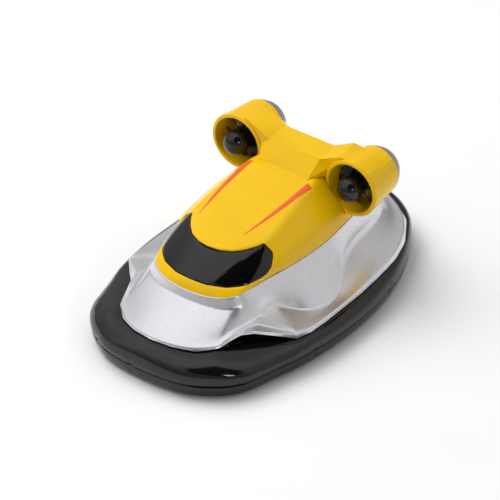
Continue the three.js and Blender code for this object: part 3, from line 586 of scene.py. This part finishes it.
def arc(radius, middle, steps, count):
    """A round end's profile about a middle on the axis, with a number of steps to half a turn."""
    angles = (i * math.pi / steps for i in range(count))
    return [(radius * math.sin(a), middle - radius * math.cos(a)) for a in angles]


def stern_turned(name, profile, sides=64):
    """A profile turned about the charging port's axis, which leans back from the stern wall."""
    turn = Matrix.Rotation(PLUG_TILT, 4, "X")
    return placed(turned_mesh(name, profile, sides), *PLUG_AT, turn=turn)


# ---------------------------------------------------------------- skirt and hull

BLEND_STEPS = 8  # columns between two stations
NOTCHES = (
    (-32, -50.4), (-20.9, -60.5), (-3.9, -64.4), (16.6, -63.9), (31.6, -52.5), (39.2, -22), (39, 20),
    (27, 50), (-39.2, -22), (-39, 20), (-27, 50),
)
NOTCH_WIDTH, NOTCH_DEPTH, NOTCH_REACH = 1.5, 0.45, 4.5


def notched(p, base_z):
    """Presses a shallow upright groove into a point near one of the skirt's segment joints."""
    depth = 0.0
    for x, y in NOTCHES:
        d = math.hypot(p.x - x * MM, p.y - y * MM) / MM
        if d < NOTCH_WIDTH * 2:
            fade = max(0.0, 1 - abs(p.z / MM - base_z) / NOTCH_REACH)
            depth = max(depth, NOTCH_DEPTH * fade * math.exp(-((d / (NOTCH_WIDTH * 0.6)) ** 2)))
    inwards = Vector((-p.x, -p.y, 0)).normalized()
    return p + inwards * depth * MM


def skirt_rows():
    """The skirt's section, from the seam up over the shoulder, then back down inside."""
    outline = smooth_loop(ring(OUTLINE), BLEND_STEPS)
    top = smooth_loop(ring(SKIRT_TOP), BLEND_STEPS)
    base = SEAM_Z + 1.2
    rows = [at_height(moved(outline, 0.55), SEAM_Z), at_height(moved(outline, 0.2), SEAM_Z + 0.3)]
    steps = 14
    for s in range(steps + 1):
        angle = s / steps * math.pi / 2
        across = math.cos(angle) ** 0.78
        up = math.sin(angle) ** 0.86
        row = []
        for p, t in zip(outline, top):
            z = base * MM + (t.z - base * MM) * up
            row.append(Vector((t.x + (p.x - t.x) * across, t.y + (p.y - t.y) * across, z)))
        rows.append(row)
    rows.append(moved(top, 0.7, -0.25))
    rows.append(moved(top, 4.2, -1.2))
    rows.append(moved(top, 4.2, -2.0))
    rows.append([p + Vector((0, 0, -1.6 * MM)) for p in moved(top, 1.2)])
    rows.append(at_height(moved(outline, 1.9), SEAM_Z + 2.5))
    rows.append(at_height(moved(outline, 1.7), SEAM_Z))
    return rows


def make_skirt():
    rows = skirt_rows()
    n = len(rows[0])
    verts = [notched(p, SEAM_Z) for row in rows for p in row]
    faces = []
    for r in range(len(rows)):
        q = (r + 1) % len(rows)
        for i in range(n):
            j = (i + 1) % n
            faces.append((r * n + i, r * n + j, q * n + j, q * n + i))
    skirt = add_object("black_skirt", mesh_from("skirt", verts, faces), BLACK)
    shade_sharp(skirt, 40)
    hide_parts("skirt")


def capped(name, rows):
    """A closed solid of rows from the bottom up, with a fan of triangles over each end."""
    n = len(rows[0])
    verts = [p for row in rows for p in row]
    verts += [Vector((0, 0, rows[0][0].z)), Vector((0, 0, rows[-1][0].z))]
    faces = []
    for r in range(len(rows) - 1):
        for i in range(n):
            j = (i + 1) % n
            faces.append((r * n + i, r * n + j, (r + 1) * n + j, (r + 1) * n + i))
    bottom, top = len(verts) - 2, len(verts) - 1
    last = (len(rows) - 1) * n
    for i in range(n):
        j = (i + 1) % n
        faces.append((bottom, j, i))
        faces.append((top, last + i, last + j))
    return mesh_from(name, verts, faces)


# Inset and height of the hull's sides outside, from the flat bottom to the rim, and inside.
HULL_SIDE = (
    (3.4, 0), (2.5, 0.12), (1.7, 0.55), (1.15, 1.2), (0.75, 2.1), (0.5, 3.1), (0.38, 4.1), (0.35, 4.6),
    (0.6, HULL_RIM_Z),
)
HULL_INSIDE = ((5, 1.6), (2.6, 2.4), (1.9, 6))
SCREW_BORE = ((0, -1), (2.45, -1), (2.2, 0.25), (2.2, 1.2), (1.25, 1.25), (1.25, 3), (0, 3))
CONTACT_BORE = ((0, -1), (1, -1), (1, 3), (0, 3))
UPRIGHT = Matrix.Rotation(math.pi / 2, 4, "X")  # turns a profile's axis from +Y to +Z


def pocket_block(side, wall, floor, top):
    """A propeller pocket's space, grown by a wall on its sides and ends."""
    reach = POCKET_R + wall
    low = (side * SHAFT_X - reach, POCKET_Y[0] - wall, floor)
    return block("pocket", low, (side * SHAFT_X + reach, POCKET_Y[1] + wall, top))


def make_lower_hull():
    outline = smooth_loop(ring(OUTLINE), BLEND_STEPS)
    outer = [[notched(p, HULL_RIM_Z) for p in at_height(moved(outline, d), z)] for d, z in HULL_SIDE]
    hull = add_object("lower_hull_shell", capped("hull", outer), BLACK)
    inner = [at_height(moved(outline, d), z) for d, z in HULL_INSIDE]
    cavity = loose("cavity", capped("cavity", inner))
    for _, s in SIDES:
        cut(cavity, "walls", pocket_block(s, POCKET_WALL, 0.8, 7))
    combine(hull, cavity, "DIFFERENCE")
    for _, s in SIDES:
        cut(hull, "pocket", pocket_block(s, 0, -1, SHAFT_Z))
        for x, y in SCREWS:
            cut(hull, "bore", placed(turned_mesh("bore", SCREW_BORE, 48), s * x, y, turn=UPRIGHT))
        pin = turned_mesh("pin", CONTACT_BORE, 32)
        cut(hull, "pin", placed(pin, s * CONTACT_X, CONTACT_Y, turn=UPRIGHT))
    cut(hull, "slot", block("slot", (-1.4, SWITCH_Y - 3.2, -1), (1.4, SWITCH_Y + 3.2, 3)))
    cut(hull, "frame", block("frame", (-3.4, SWITCH_Y - 5.2, -1), (3.4, SWITCH_Y + 5.2, 0.4)))
    shade_sharp(hull, 35)
    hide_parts("lower_hull")


# ---------------------------------------------------------------- canopy and windshield


def canopy_rows():
    """The canopy's rows of points, from its foot up to beside the middle of its roof."""
    foot = moved(ring(DECK_ROWS["foot"]), -0.1, -0.3)
    lower, shoulder = ring(CANOPY_LOWER), ring(CANOPY_SHOULDER)
    bulge = [(a + b) / 2 + o * 0.5 * MM for a, b, o in zip(lower, shoulder, outward(lower))]
    for end in (GLASS_COLUMNS, -GLASS_COLUMNS):  # the glass has rounded ends
        bulge[end].y += 0.9 * MM
        aft = Vector((0, 0.7 * MM, 0))
        lower[end] = lower[end].lerp(bulge[end], 0.1) - aft
        shoulder[end] = shoulder[end].lerp(bulge[end], 0.12) - aft
    roof = ring(CANOPY_SHOULDER)
    inner = [Vector((p.x * 0.72, p.y, p.z + 0.55 * abs(p.x) / 15)) for p in roof]
    spine = [Vector((p.x * 0.36, p.y, p.z + 0.85 * abs(p.x) / 15)) for p in roof]
    return foot, lower, bulge, shoulder, inner, spine


def canopy_sheet(name, glass_hole):
    """The canopy's cage: open at its foot, and closed over the top."""
    rows = canopy_rows()
    n = len(rows[0])
    faces = []
    for r in range(len(rows) - 1):
        for i in range(n):
            mirrored = min(i, n - 1 - i)
            if glass_hole and r in (1, 2) and mirrored < GLASS_COLUMNS:
                continue
            j = (i + 1) % n
            faces.append((r * n + i, r * n + j, (r + 1) * n + j, (r + 1) * n + i))
    last = (len(rows) - 1) * n
    for i in range(n // 2):
        quad = [i, i + 1, n - i - 1, (n - i) % n]
        faces.append(tuple(last + k for k in dict.fromkeys(quad)))
    mesh = mesh_from(name, [p for row in rows for p in row], faces)
    bm = bmesh.new()
    bm.from_mesh(mesh)
    bm.verts.ensure_lookup_table()
    crease_row(bm, n, 3, 7, 14, 0.3)
    bm.to_mesh(mesh)
    bm.free()
    return mesh


def canopy_core():
    """A closed solid that ends half way through the canopy's wall."""
    core = loose("core", canopy_sheet("core", False))
    pass_through(core)
    subdivide(core, 2)
    bake_modifiers(core)
    bm = bmesh.new()
    bm.from_mesh(core.data)
    bm.normal_update()
    shifts = [v.normal * (CANOPY_WALL / 2) * MM for v in bm.verts]
    for v, shift in zip(bm.verts, shifts):
        v.co -= shift
    bmesh.ops.holes_fill(bm, edges=bm.edges, sides=0)
    bmesh.ops.triangulate(bm, faces=[f for f in bm.faces if len(f.verts) > 4])
    bmesh.ops.recalc_face_normals(bm, faces=bm.faces)
    bm.to_mesh(core.data)
    bm.free()
    return core


def make_canopy():
    canopy = add_object("yellow_canopy", canopy_sheet("canopy", True), YELLOW)
    pass_through(canopy)
    solidify(canopy, CANOPY_WALL, rim=0.75)
    subdivide(canopy, FINE + 1)
    bake_modifiers(canopy)
    for _, s in SIDES:
        wall = canopy_core()
        combine(wall, loose("around", duct_saddle(s, 1.5)), "INTERSECT")
        combine(canopy, wall, "UNION")
    ball = arc(DIMPLE_R, 0, 16, 17)
    for _, s in SIDES:
        cut(canopy, "saddle", duct_saddle(s, 0.4))
        for x, y, z in DIMPLES:
            cut(canopy, "dimple", placed(turned_mesh("dimple", ball, 32), s * x, y, z))
    shade_sharp(canopy, 45)
    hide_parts("canopy")
    return canopy


def duct_saddle(side, clearance):
    """The cone-shaped space around a duct."""
    y0, y1 = DUCT_FRONT_Y - clearance, DUCT_FRONT_Y + DUCT_LENGTH + 8
    front = DUCT_FRONT_R + clearance
    back = front - (DUCT_FRONT_R - DUCT_REAR_R) / DUCT_LENGTH * (y1 - y0)
    space = turned_mesh("saddle", [(0, y0), (front, y0), (back, y1), (0, y1)])
    return placed(space, side * DUCT_X, 0, DUCT_Z)


def make_windshield():
    _, lower, bulge, shoulder, _, _ = canopy_rows()
    n = len(lower)
    columns = range(-GLASS_COLUMNS, GLASS_COLUMNS + 1)
    count = len(columns)
    verts = [row[c % n] for row in (lower, bulge, shoulder) for c in columns]
    mesh = mesh_from("windshield", verts, strip_faces(3, count))
    glass = add_object("windshield_panel", mesh, GLASS)
    pass_through(glass)
    bm = bmesh.new()
    bm.from_mesh(mesh)
    bm.normal_update()
    bm.verts.ensure_lookup_table()
    normals = [v.normal.copy() for v in bm.verts]
    for i, v in enumerate(bm.verts):
        v.co -= normals[i] * GLASS_SUNK[i // count] * MM
    bm.to_mesh(mesh)
    bm.free()
    solidify(glass, GLASS_WALL, rim=0.6)
    subdivide(glass, FINE + 1)
    bake_modifiers(glass)
    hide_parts("windshield")
    make_glass_flange(lower, shoulder, bulge)


def make_glass_flange(lower, shoulder, bulge):
    """The panel's hidden border, glued behind the canopy's edge."""
    n = len(lower)
    ways = outward(lower)
    columns = range(-GLASS_COLUMNS - 1, GLASS_COLUMNS + 2)
    rows = ((lower, 1.7, -1.4), (bulge, 1.9, 0), (shoulder, 1.6, -0.2), (shoulder, 3.4, -0.1))
    verts = []
    for row, inset, rise in rows:
        for c in columns:
            i = c % n
            if abs(c) > GLASS_COLUMNS:
                edge = (GLASS_COLUMNS if c > 0 else -GLASS_COLUMNS) % n
                p = row[edge].lerp(row[i], FLANGE_REACH)
            else:
                p = row[i]
            verts.append(p - ways[i] * inset * MM + Vector((0, 0, rise * MM)))
    mesh = mesh_from("flange", verts, strip_faces(len(rows), len(columns)))
    flange = add_object("windshield_flange", mesh, GLASS)
    solidify(flange, 0.4, rim=0.6)
    subdivide(flange, 2)
    bake_modifiers(flange)


def project_down(tree, x, y):
    """The point of a surface under x and y in millimetres, and the surface's normal there."""
    hit, normal, _, _ = tree.ray_cast(Vector((x, y, RAY_START_Z)) * MM, Vector((0, 0, -1)))
    return hit, normal


def make_stripes(canopy):
    """Tapered printed stripes that lie on the hood."""
    bm = bmesh.new()
    bm.from_mesh(canopy.data)
    tree = BVHTree.FromBMesh(bm)
    bm.free()
    steps, across = 48, 6
    for name, s in SIDES:
        tip, tail = (Vector((x, y, 0)) for x, y in STRIPES[name])
        verts, faces = [], []
        for i in range(steps + 1):
            t = i / steps
            middle = tip.lerp(tail, t)
            middle.x += 0.5 * math.sin(math.pi * t)
            half = 0.05 + 1.05 * t ** 0.75
            slant = 0.54 * t
            for j in range(across + 1):
                u = j / across * 2 - 1
                hit, normal = project_down(tree, s * (middle.x + u * half), middle.y - u * slant)
                verts.append(hit + normal * 0.03 * MM)
        w = across + 1
        for i in range(steps):
            for j in range(across):
                quad = (i * w + j, i * w + j + 1, (i + 1) * w + j + 1, (i + 1) * w + j)
                faces.append(quad if s > 0 else tuple(reversed(quad)))
        mesh = mesh_from("stripe", verts, faces)
        stripe = add_object(name + "_stripe", mesh, ORANGE)
        solidify(stripe, 0.08, rim=0)
        bake_modifiers(stripe)


# ---------------------------------------------------------------- bridge and ducts


def mirrored_hull(name, side, points):
    return hull_mesh(name, [(side * x, y, z) for x, y, z in points])


def gusset_points(y0, y1):
    """The web between the bridge and a duct, which runs tangent to the duct's top."""
    points = [
        (9.9, y0 + 0.6, 42), (9.9, 33, 42), (10.4, y0 + 0.6, 47.3), (10.1, 27.5, 47.8),
        (18.8, y0 + 0.6, 51.3), (17, 28.7, 51), (16, y0 + 0.6, 42), (17.5, y1 - 0.6, 42),
        (18, y1 - 1, 46.5),
    ]
    for y, r in ((y0 + 1.2, DUCT_FRONT_R - 0.25), (y0 + 12, DUCT_REAR_R + 0.35)):
        for degrees in (60, 75, 90, 105):
            a = math.radians(degrees)
            points.append((DUCT_X + r * math.cos(a), y, DUCT_Z + r * math.sin(a)))
    return points


def make_duct_bridge():
    y0, y1 = DUCT_FRONT_Y, DUCT_FRONT_Y + DUCT_LENGTH
    middle = [(10, 12.6, 42), (10, 33.4, 42), (10.4, 18.6, 47.3), (10.1, 27.5, 47.8)]
    corners = [(s * x, y, z) for s in (1, -1) for x, y, z in middle]
    cheek = [
        (9.9, 12.6, 42), (13.2, y0 + 0.3, 42), (13.4, y0 + 0.3, 44.5), (10.4, y0 + 0.9, 47.3),
        (9.9, 30, 42), (13.2, 30, 42),
    ]
    body = [
        (0, y0), (DUCT_FRONT_R - 0.6, y0), (DUCT_FRONT_R - 0.2, y0 + 0.15), (DUCT_FRONT_R, y0 + 0.55),
        (DUCT_REAR_R + 0.3, y1 - 0.6), (DUCT_REAR_R - 0.3, y1), (0, y1),
    ]
    bore = [
        (0, y0 - 2), (MOUTH_R + 0.3, y0 - 2), (MOUTH_R + 0.25, y0), (MOUTH_R + 0.05, y0 + 0.25),
        (MOUTH_R - 0.05, y0 + 0.7), (THROAT_R, y1 - 4), (THROAT_R, y1 + 1), (0, y1 + 1),
    ]
    mesh = hull_mesh("bridge", corners)
    bridge = add_object("duct_bridge_shell", mesh, YELLOW)
    for _, s in SIDES:
        join(bridge, "gusset", mirrored_hull("gusset", s, gusset_points(y0, y1)))
        join(bridge, "cheek", mirrored_hull("cheek", s, cheek))
        join(bridge, "body", placed(turned_mesh("body", body), s * DUCT_X, 0, DUCT_Z))
    for _, s in SIDES:
        cut(bridge, "bore", placed(turned_mesh("bore", bore), s * DUCT_X, 0, DUCT_Z))
    bevel(bridge, 0.35, 3, 24)
    bake_modifiers(bridge, sharp=40)
    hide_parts("duct_bridge")


def make_nozzle(name, side):
    y = DUCT_FRONT_Y + DUCT_LENGTH + 0.3
    end = y + NOZZLE_LENGTH
    profile = [
        (6.9, y - 2.6), (6.9, y - 0.1), (7.7, y - 0.1), (7.95, y + 0.15), (7.6, y + 1.3), (7.35, y + 1.55),
        (6.95, y + 1.6), (6.8, y + 1.8), (6.3, end - 0.2), (6.1, end), (5.6, end), (5.4, end - 0.2),
        (5.7, y - 2.6),
    ]
    mesh = placed(turned_mesh("nozzle", profile, closed=True), side * DUCT_X, 0, DUCT_Z)
    nozzle = add_object(name + "_nozzle_ring", mesh, GREY)
    shade_sharp(nozzle, 35)
    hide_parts(name + "_exhaust_nozzle")


def chord_at(t, width):
    """A blade's width at a part t of its length, narrowing to a round tip over the last fifth."""
    chord = width * (0.75 + 0.5 * t - 0.25 * t * t)
    if t < 0.8:
        return chord
    return chord * math.sqrt(max(0.05, 1 - ((t - 0.8) / 0.2) ** 2))


def blade_mesh(root, tip, width, thickness, pitch_root, pitch_tip):
    """A twisted blade that points along +Z, with a rounded tip, in millimetres."""
    bm = bmesh.new()
    spans, chords = 10, 8
    grid = []
    for side in (1, -1):
        rows = []
        for i in range(spans + 1):
            t = i / spans
            radius = root + (tip - root) * t
            chord = chord_at(t, width)
            pitch = pitch_root + (pitch_tip - pitch_root) * t
            row = []
            for j in range(chords + 1):
                u = j / chords * 2 - 1
                half = thickness / 2 * math.sqrt(max(0.0, 1 - u * u)) + 0.02
                local = Vector((u * chord / 2, side * half))
                x = local.x * math.cos(pitch) - local.y * math.sin(pitch)
                y = local.x * math.sin(pitch) + local.y * math.cos(pitch)
                row.append(bm.verts.new(Vector((x, y, radius)) * MM))
            rows.append(row)
        grid.append(rows)
    for k, rows in enumerate(grid):
        for i in range(spans):
            for j in range(chords):
                quad = [rows[i][j], rows[i][j + 1], rows[i + 1][j + 1], rows[i + 1][j]]
                bm.faces.new(quad if k else quad[::-1])
    front, back = grid
    for i in range(spans):
        for j, order in ((0, 1), (chords, -1)):
            quad = [front[i][j], back[i][j], back[i + 1][j], front[i + 1][j]]
            bm.faces.new(quad[::order])
    for i, order in ((0, -1), (spans, 1)):
        for j in range(chords):
            quad = [front[i][j], back[i][j], back[i][j + 1], front[i][j + 1]]
            bm.faces.new(quad[::order])
    bmesh.ops.recalc_face_normals(bm, faces=bm.faces)
    mesh = bpy.data.meshes.new("blade")
    bm.to_mesh(mesh)
    bm.free()
    return mesh


def bladed(obj, count, y, x, z, **blade):
    """Joins blades to a hub."""
    for i in range(count):
        mesh = blade_mesh(**blade)
        turn = Matrix.Rotation(2 * math.pi * i / count, 4, "Y")
        join(obj, "blade", placed(mesh, x, y, z, turn=turn))


def make_fan(name, side):
    y, back = DUCT_FRONT_Y, FAN_BACK_Y
    profile = [
        *arc(FAN_NOSE_R, y, 36, 19), (4.3, y + 1), (3.8, y + 1.4), (3.6, back - 0.3), (3.3, back),
        (0.75, back), (0.75, back - 5), (0, back - 5),
    ]
    mesh = placed(turned_mesh("rotor", profile, 64), side * DUCT_X, 0, DUCT_Z)
    rotor = add_object(name + "_fan", mesh, FAN_BLACK, body=name + "_fan")
    bladed(rotor, FAN_BLADES, FAN_Y, side * DUCT_X, DUCT_Z, root=3, tip=FAN_TIP_R, width=5.2,
           thickness=0.7, pitch_root=side * 0.85, pitch_tip=side * 0.5)
    shade_sharp(rotor, 40)
    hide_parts(name + "_fan_rotor")


def make_propeller(name, side):
    x, y = side * SHAFT_X, PROP_Y
    profile = [
        (0.85, y - 2.2), (1.5, y - 2.2), (1.65, y - 2), (1.7, y + 1.2), (1.4, y + 2), (0.9, y + 2.6),
        (0, y + 2.85), (0, y + 1), (0.85, y + 1),
    ]
    mesh = placed(turned_mesh("prop", profile, 48), x, 0, SHAFT_Z)
    bm = bmesh.new()
    bm.from_mesh(mesh)
    bmesh.ops.holes_fill(bm, edges=bm.edges, sides=64)
    bm.to_mesh(mesh)
    bm.free()
    prop = add_object(name + "_prop", mesh, SATIN_BLACK, body=name + "_drive")
    bladed(prop, PROP_BLADES, y, x, SHAFT_Z, root=1.2, tip=PROP_TIP_R, width=3.9, thickness=0.6,
           pitch_root=side * 0.9, pitch_tip=side * 0.5)
    shade_sharp(prop, 40)
    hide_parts(name + "_propeller")


# ---------------------------------------------------------------- small fittings


def make_screws():
    """Pan-head cross-slot screws in the bottom, each turned by a different angle."""
    profile = [
        (0, 0.3), (1.2, 0.36), (1.65, 0.55), (1.88, 0.85), (1.9, 1.1), (1, 1.1), (1, 7.1), (0.1, 7.9),
        (0, 7.9),
    ]
    for name, s in SIDES:
        for i, (x, y) in enumerate(SCREWS):
            mesh = placed(turned_mesh("screw", profile, 48), turn=UPRIGHT)
            screw = add_object("%s_bottom_screw_%d" % (name, i + 1), mesh, SCREW_STEEL)
            for a, b in ((1.15, 0.24), (0.24, 1.15)):
                cut(screw, "cross", block("cross", (-a, -b, 0), (a, b, 0.75)))
            placed(screw.data, s * x, y, turn=Matrix.Rotation(0.4 + 1.1 * i, 4, "Z"))
            shade_sharp(screw, 35)
            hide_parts("%s_hull_screw_%d" % (name, i + 1))


def make_plug():
    profile = [
        (0, -1.8), (1.35, -1.8), (1.5, -1.6), (1.5, 0.3), (2.55, 0.3), (2.7, 0.45), (2.65, 0.75),
        (2.35, 1.05), (1.7, 1.25), (0, 1.3),
    ]
    mesh = stern_turned("plug", profile)
    plug = add_object("rubber_plug", mesh, RUBBER, body="plug")
    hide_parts("charge_plug")


def make_knob():
    """The switch's knob, with grooves across it for a fingertip."""
    y = SWITCH_Y - 1.5
    mesh = block("knob", (-1, y - 1.4, 0.4), (1, y + 1.4, 3.8))
    knob = add_object("slide_knob", mesh, MATT_BLACK, body="switch")
    for i in range(4):
        at = y - 1.05 + i * 0.7
        cut(knob, "groove", block("groove", (-2, at - 0.12, 0), (2, at + 0.12, 0.65)))
    bevel(knob, 0.06, 2)
    bake_modifiers(knob, sharp=35)
    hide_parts("switch_knob")


CARRIED = {
    "hull_seal": RUBBER, "motor_bracket": MATT_BLACK, "battery": CELL, "circuit_board": BOARD,
    "radio_module": CAN_STEEL, "power_switch": CAN_STEEL, "charge_socket": MATT_BLACK,
    "battery_lead": WIRE, "charge_lead": WIRE,
}
CARRIED_SIDES = {
    "fan_stator": MATT_BLACK, "fan_pin": STEEL, "motor": CAN_STEEL, "motor_shaft": STEEL,
    "shaft_coupling": RUBBER, "propeller_shaft": STEEL, "stern_tube": BRASS,
    "propeller_guard": MATT_BLACK, "motor_lead": WIRE, "water_contact": STEEL,
    "bracket_screw": SCREW_STEEL, "board_screw": SCREW_STEEL,
}


def finish_carried():
    """Gives the CAD nodes that stay visible their materials."""
    wanted = dict(CARRIED)
    for name, _ in SIDES:
        wanted.update({name + "_" + part: mat for part, mat in CARRIED_SIDES.items()})
    for node, mat in wanted.items():
        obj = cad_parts[node]
        for slot in obj.material_slots:
            slot.material = mat


# ---------------------------------------------------------------- studio

# Each part of the tent: its direction, the cosines where it is full and where it ends, and its light
# outside and inside. A part that is darker inside dims what the parts before it give.
TENT = (
    ((-0.5, 0.0, 0.85), 0.9, 0.3, 0.34, 1.18),
    ((0.6, 0.6, 0.5), 0.95, 0.6, 0.0, 0.36),
    ((0.5, -0.4, 0.78), 0.87, 0.84, 1.0, 0.05),
    ((-0.25, 0.8, 0.5), 0.97, 0.7, 1.0, 0.55),
    ((-0.97, 0.1, 0.2), 0.96, 0.72, 1.0, 0.55),
)


CAMERA_AT = (0.60672, -0.81076, 0.71541)
CAMERA_RIGHT = (0.79754, 0.60326, 0.00259)
CAMERA_UP = (-0.34436, 0.45173, 0.82302)
CAMERA_BACK = (0.49533, -0.65728, 0.56801)
CAMERA_LENS, CAMERA_SENSOR = 266.15, 36


def make_camera():
    data = bpy.data.cameras.new("camera")
    data.sensor_width = CAMERA_SENSOR
    data.lens = CAMERA_LENS
    data.clip_end = 10
    camera = bpy.data.objects.new("camera", data)
    columns = ((*CAMERA_RIGHT, 0), (*CAMERA_UP, 0), (*CAMERA_BACK, 0), (*CAMERA_AT, 1))
    camera.matrix_world = Matrix(columns).transposed()
    bpy.context.scene.collection.objects.link(camera)
    bpy.context.scene.camera = camera


def make_light(name, at, size, power, glossy=True):
    data = bpy.data.lights.new(name, "AREA")
    data.shape = "RECTANGLE"
    data.size, data.size_y = size
    data.energy = power
    light = bpy.data.objects.new(name, data)
    light.visible_camera = False
    light.visible_glossy = glossy
    light.location = at
    light.rotation_mode = "QUATERNION"
    light.rotation_quaternion = (Vector(at) - Vector((0, 0, 0.02))).to_track_quat("Z", "Y")
    bpy.context.scene.collection.objects.link(light)


def make_world():
    """A light tent, brightest at the upper left, with a dark gap and dimmer left and back walls."""
    world = bpy.data.worlds.new("studio")
    world.use_nodes = True
    tree = world.node_tree
    place = tree.nodes.new("ShaderNodeTexCoord")
    total = None
    for direction, near, far, low, high in TENT:
        toward = tree.nodes.new("ShaderNodeVectorMath")
        toward.operation = "DOT_PRODUCT"
        toward.inputs[1].default_value = Vector(direction).normalized()
        level = tree.nodes.new("ShaderNodeMapRange")
        level.interpolation_type = "SMOOTHSTEP"
        level.inputs["From Min"].default_value = far
        level.inputs["From Max"].default_value = near
        level.inputs["To Min"].default_value = low
        level.inputs["To Max"].default_value = high
        tree.links.new(place.outputs["Generated"], toward.inputs[0])
        tree.links.new(toward.outputs["Value"], level.inputs["Value"])
        if total is None:
            total = level.outputs["Result"]
        else:
            join = tree.nodes.new("ShaderNodeMath")
            join.operation = "MULTIPLY" if high < low else "ADD"
            tree.links.new(total, join.inputs[0])
            tree.links.new(level.outputs["Result"], join.inputs[1])
            total = join.outputs["Value"]
    back = tree.nodes["Background"]
    tree.links.new(total, back.inputs["Strength"])
    back.inputs["Color"].default_value = (1, 1, 1, 1)
    bpy.context.scene.world = world


FLOOR_REACH, FLOOR_Z = 4, -0.0003  # metres


def make_studio():
    """A pale paper floor just under the boat, the light tent and two lamps."""
    paper = Nodes("paper", Roughness=0.9)
    tones = [(0.3, (0.93, 0.93, 0.93)), (0.7, (0.96, 0.96, 0.96))]
    paper.color(paper.ramp(paper.noise(9, 2), tones))
    reach = FLOOR_REACH
    square = ((-reach, -reach), (reach, -reach), (reach, reach), (-reach, reach))
    corners = [(x, y, FLOOR_Z) for x, y in square]
    mesh = mesh_from("floor", corners, [(0, 1, 2, 3)])
    mesh.materials.append(paper.material)
    floor = bpy.data.objects.new("floor", mesh)
    bpy.context.scene.collection.objects.link(floor)
    make_world()
    make_light("left_softbox", (-0.55, -0.05, 0.85), (0.75, 0.75), 5.9, glossy=False)
    make_light("right_strip", (0.77, -0.41, 0.49), (0.16, 0.1), 0.7)
    bpy.context.scene.view_settings.view_transform = "Standard"
    bpy.context.scene.view_settings.look = "None"


make_deck()
make_skirt()
make_lower_hull()
yellow_canopy = make_canopy()
make_windshield()
make_stripes(yellow_canopy)
make_duct_bridge()
for side_name, side_sign in SIDES:
    make_nozzle(side_name, side_sign)
    make_fan(side_name, side_sign)
    make_propeller(side_name, side_sign)
make_screws()
make_plug()
make_knob()
finish_carried()
make_camera()
make_studio()
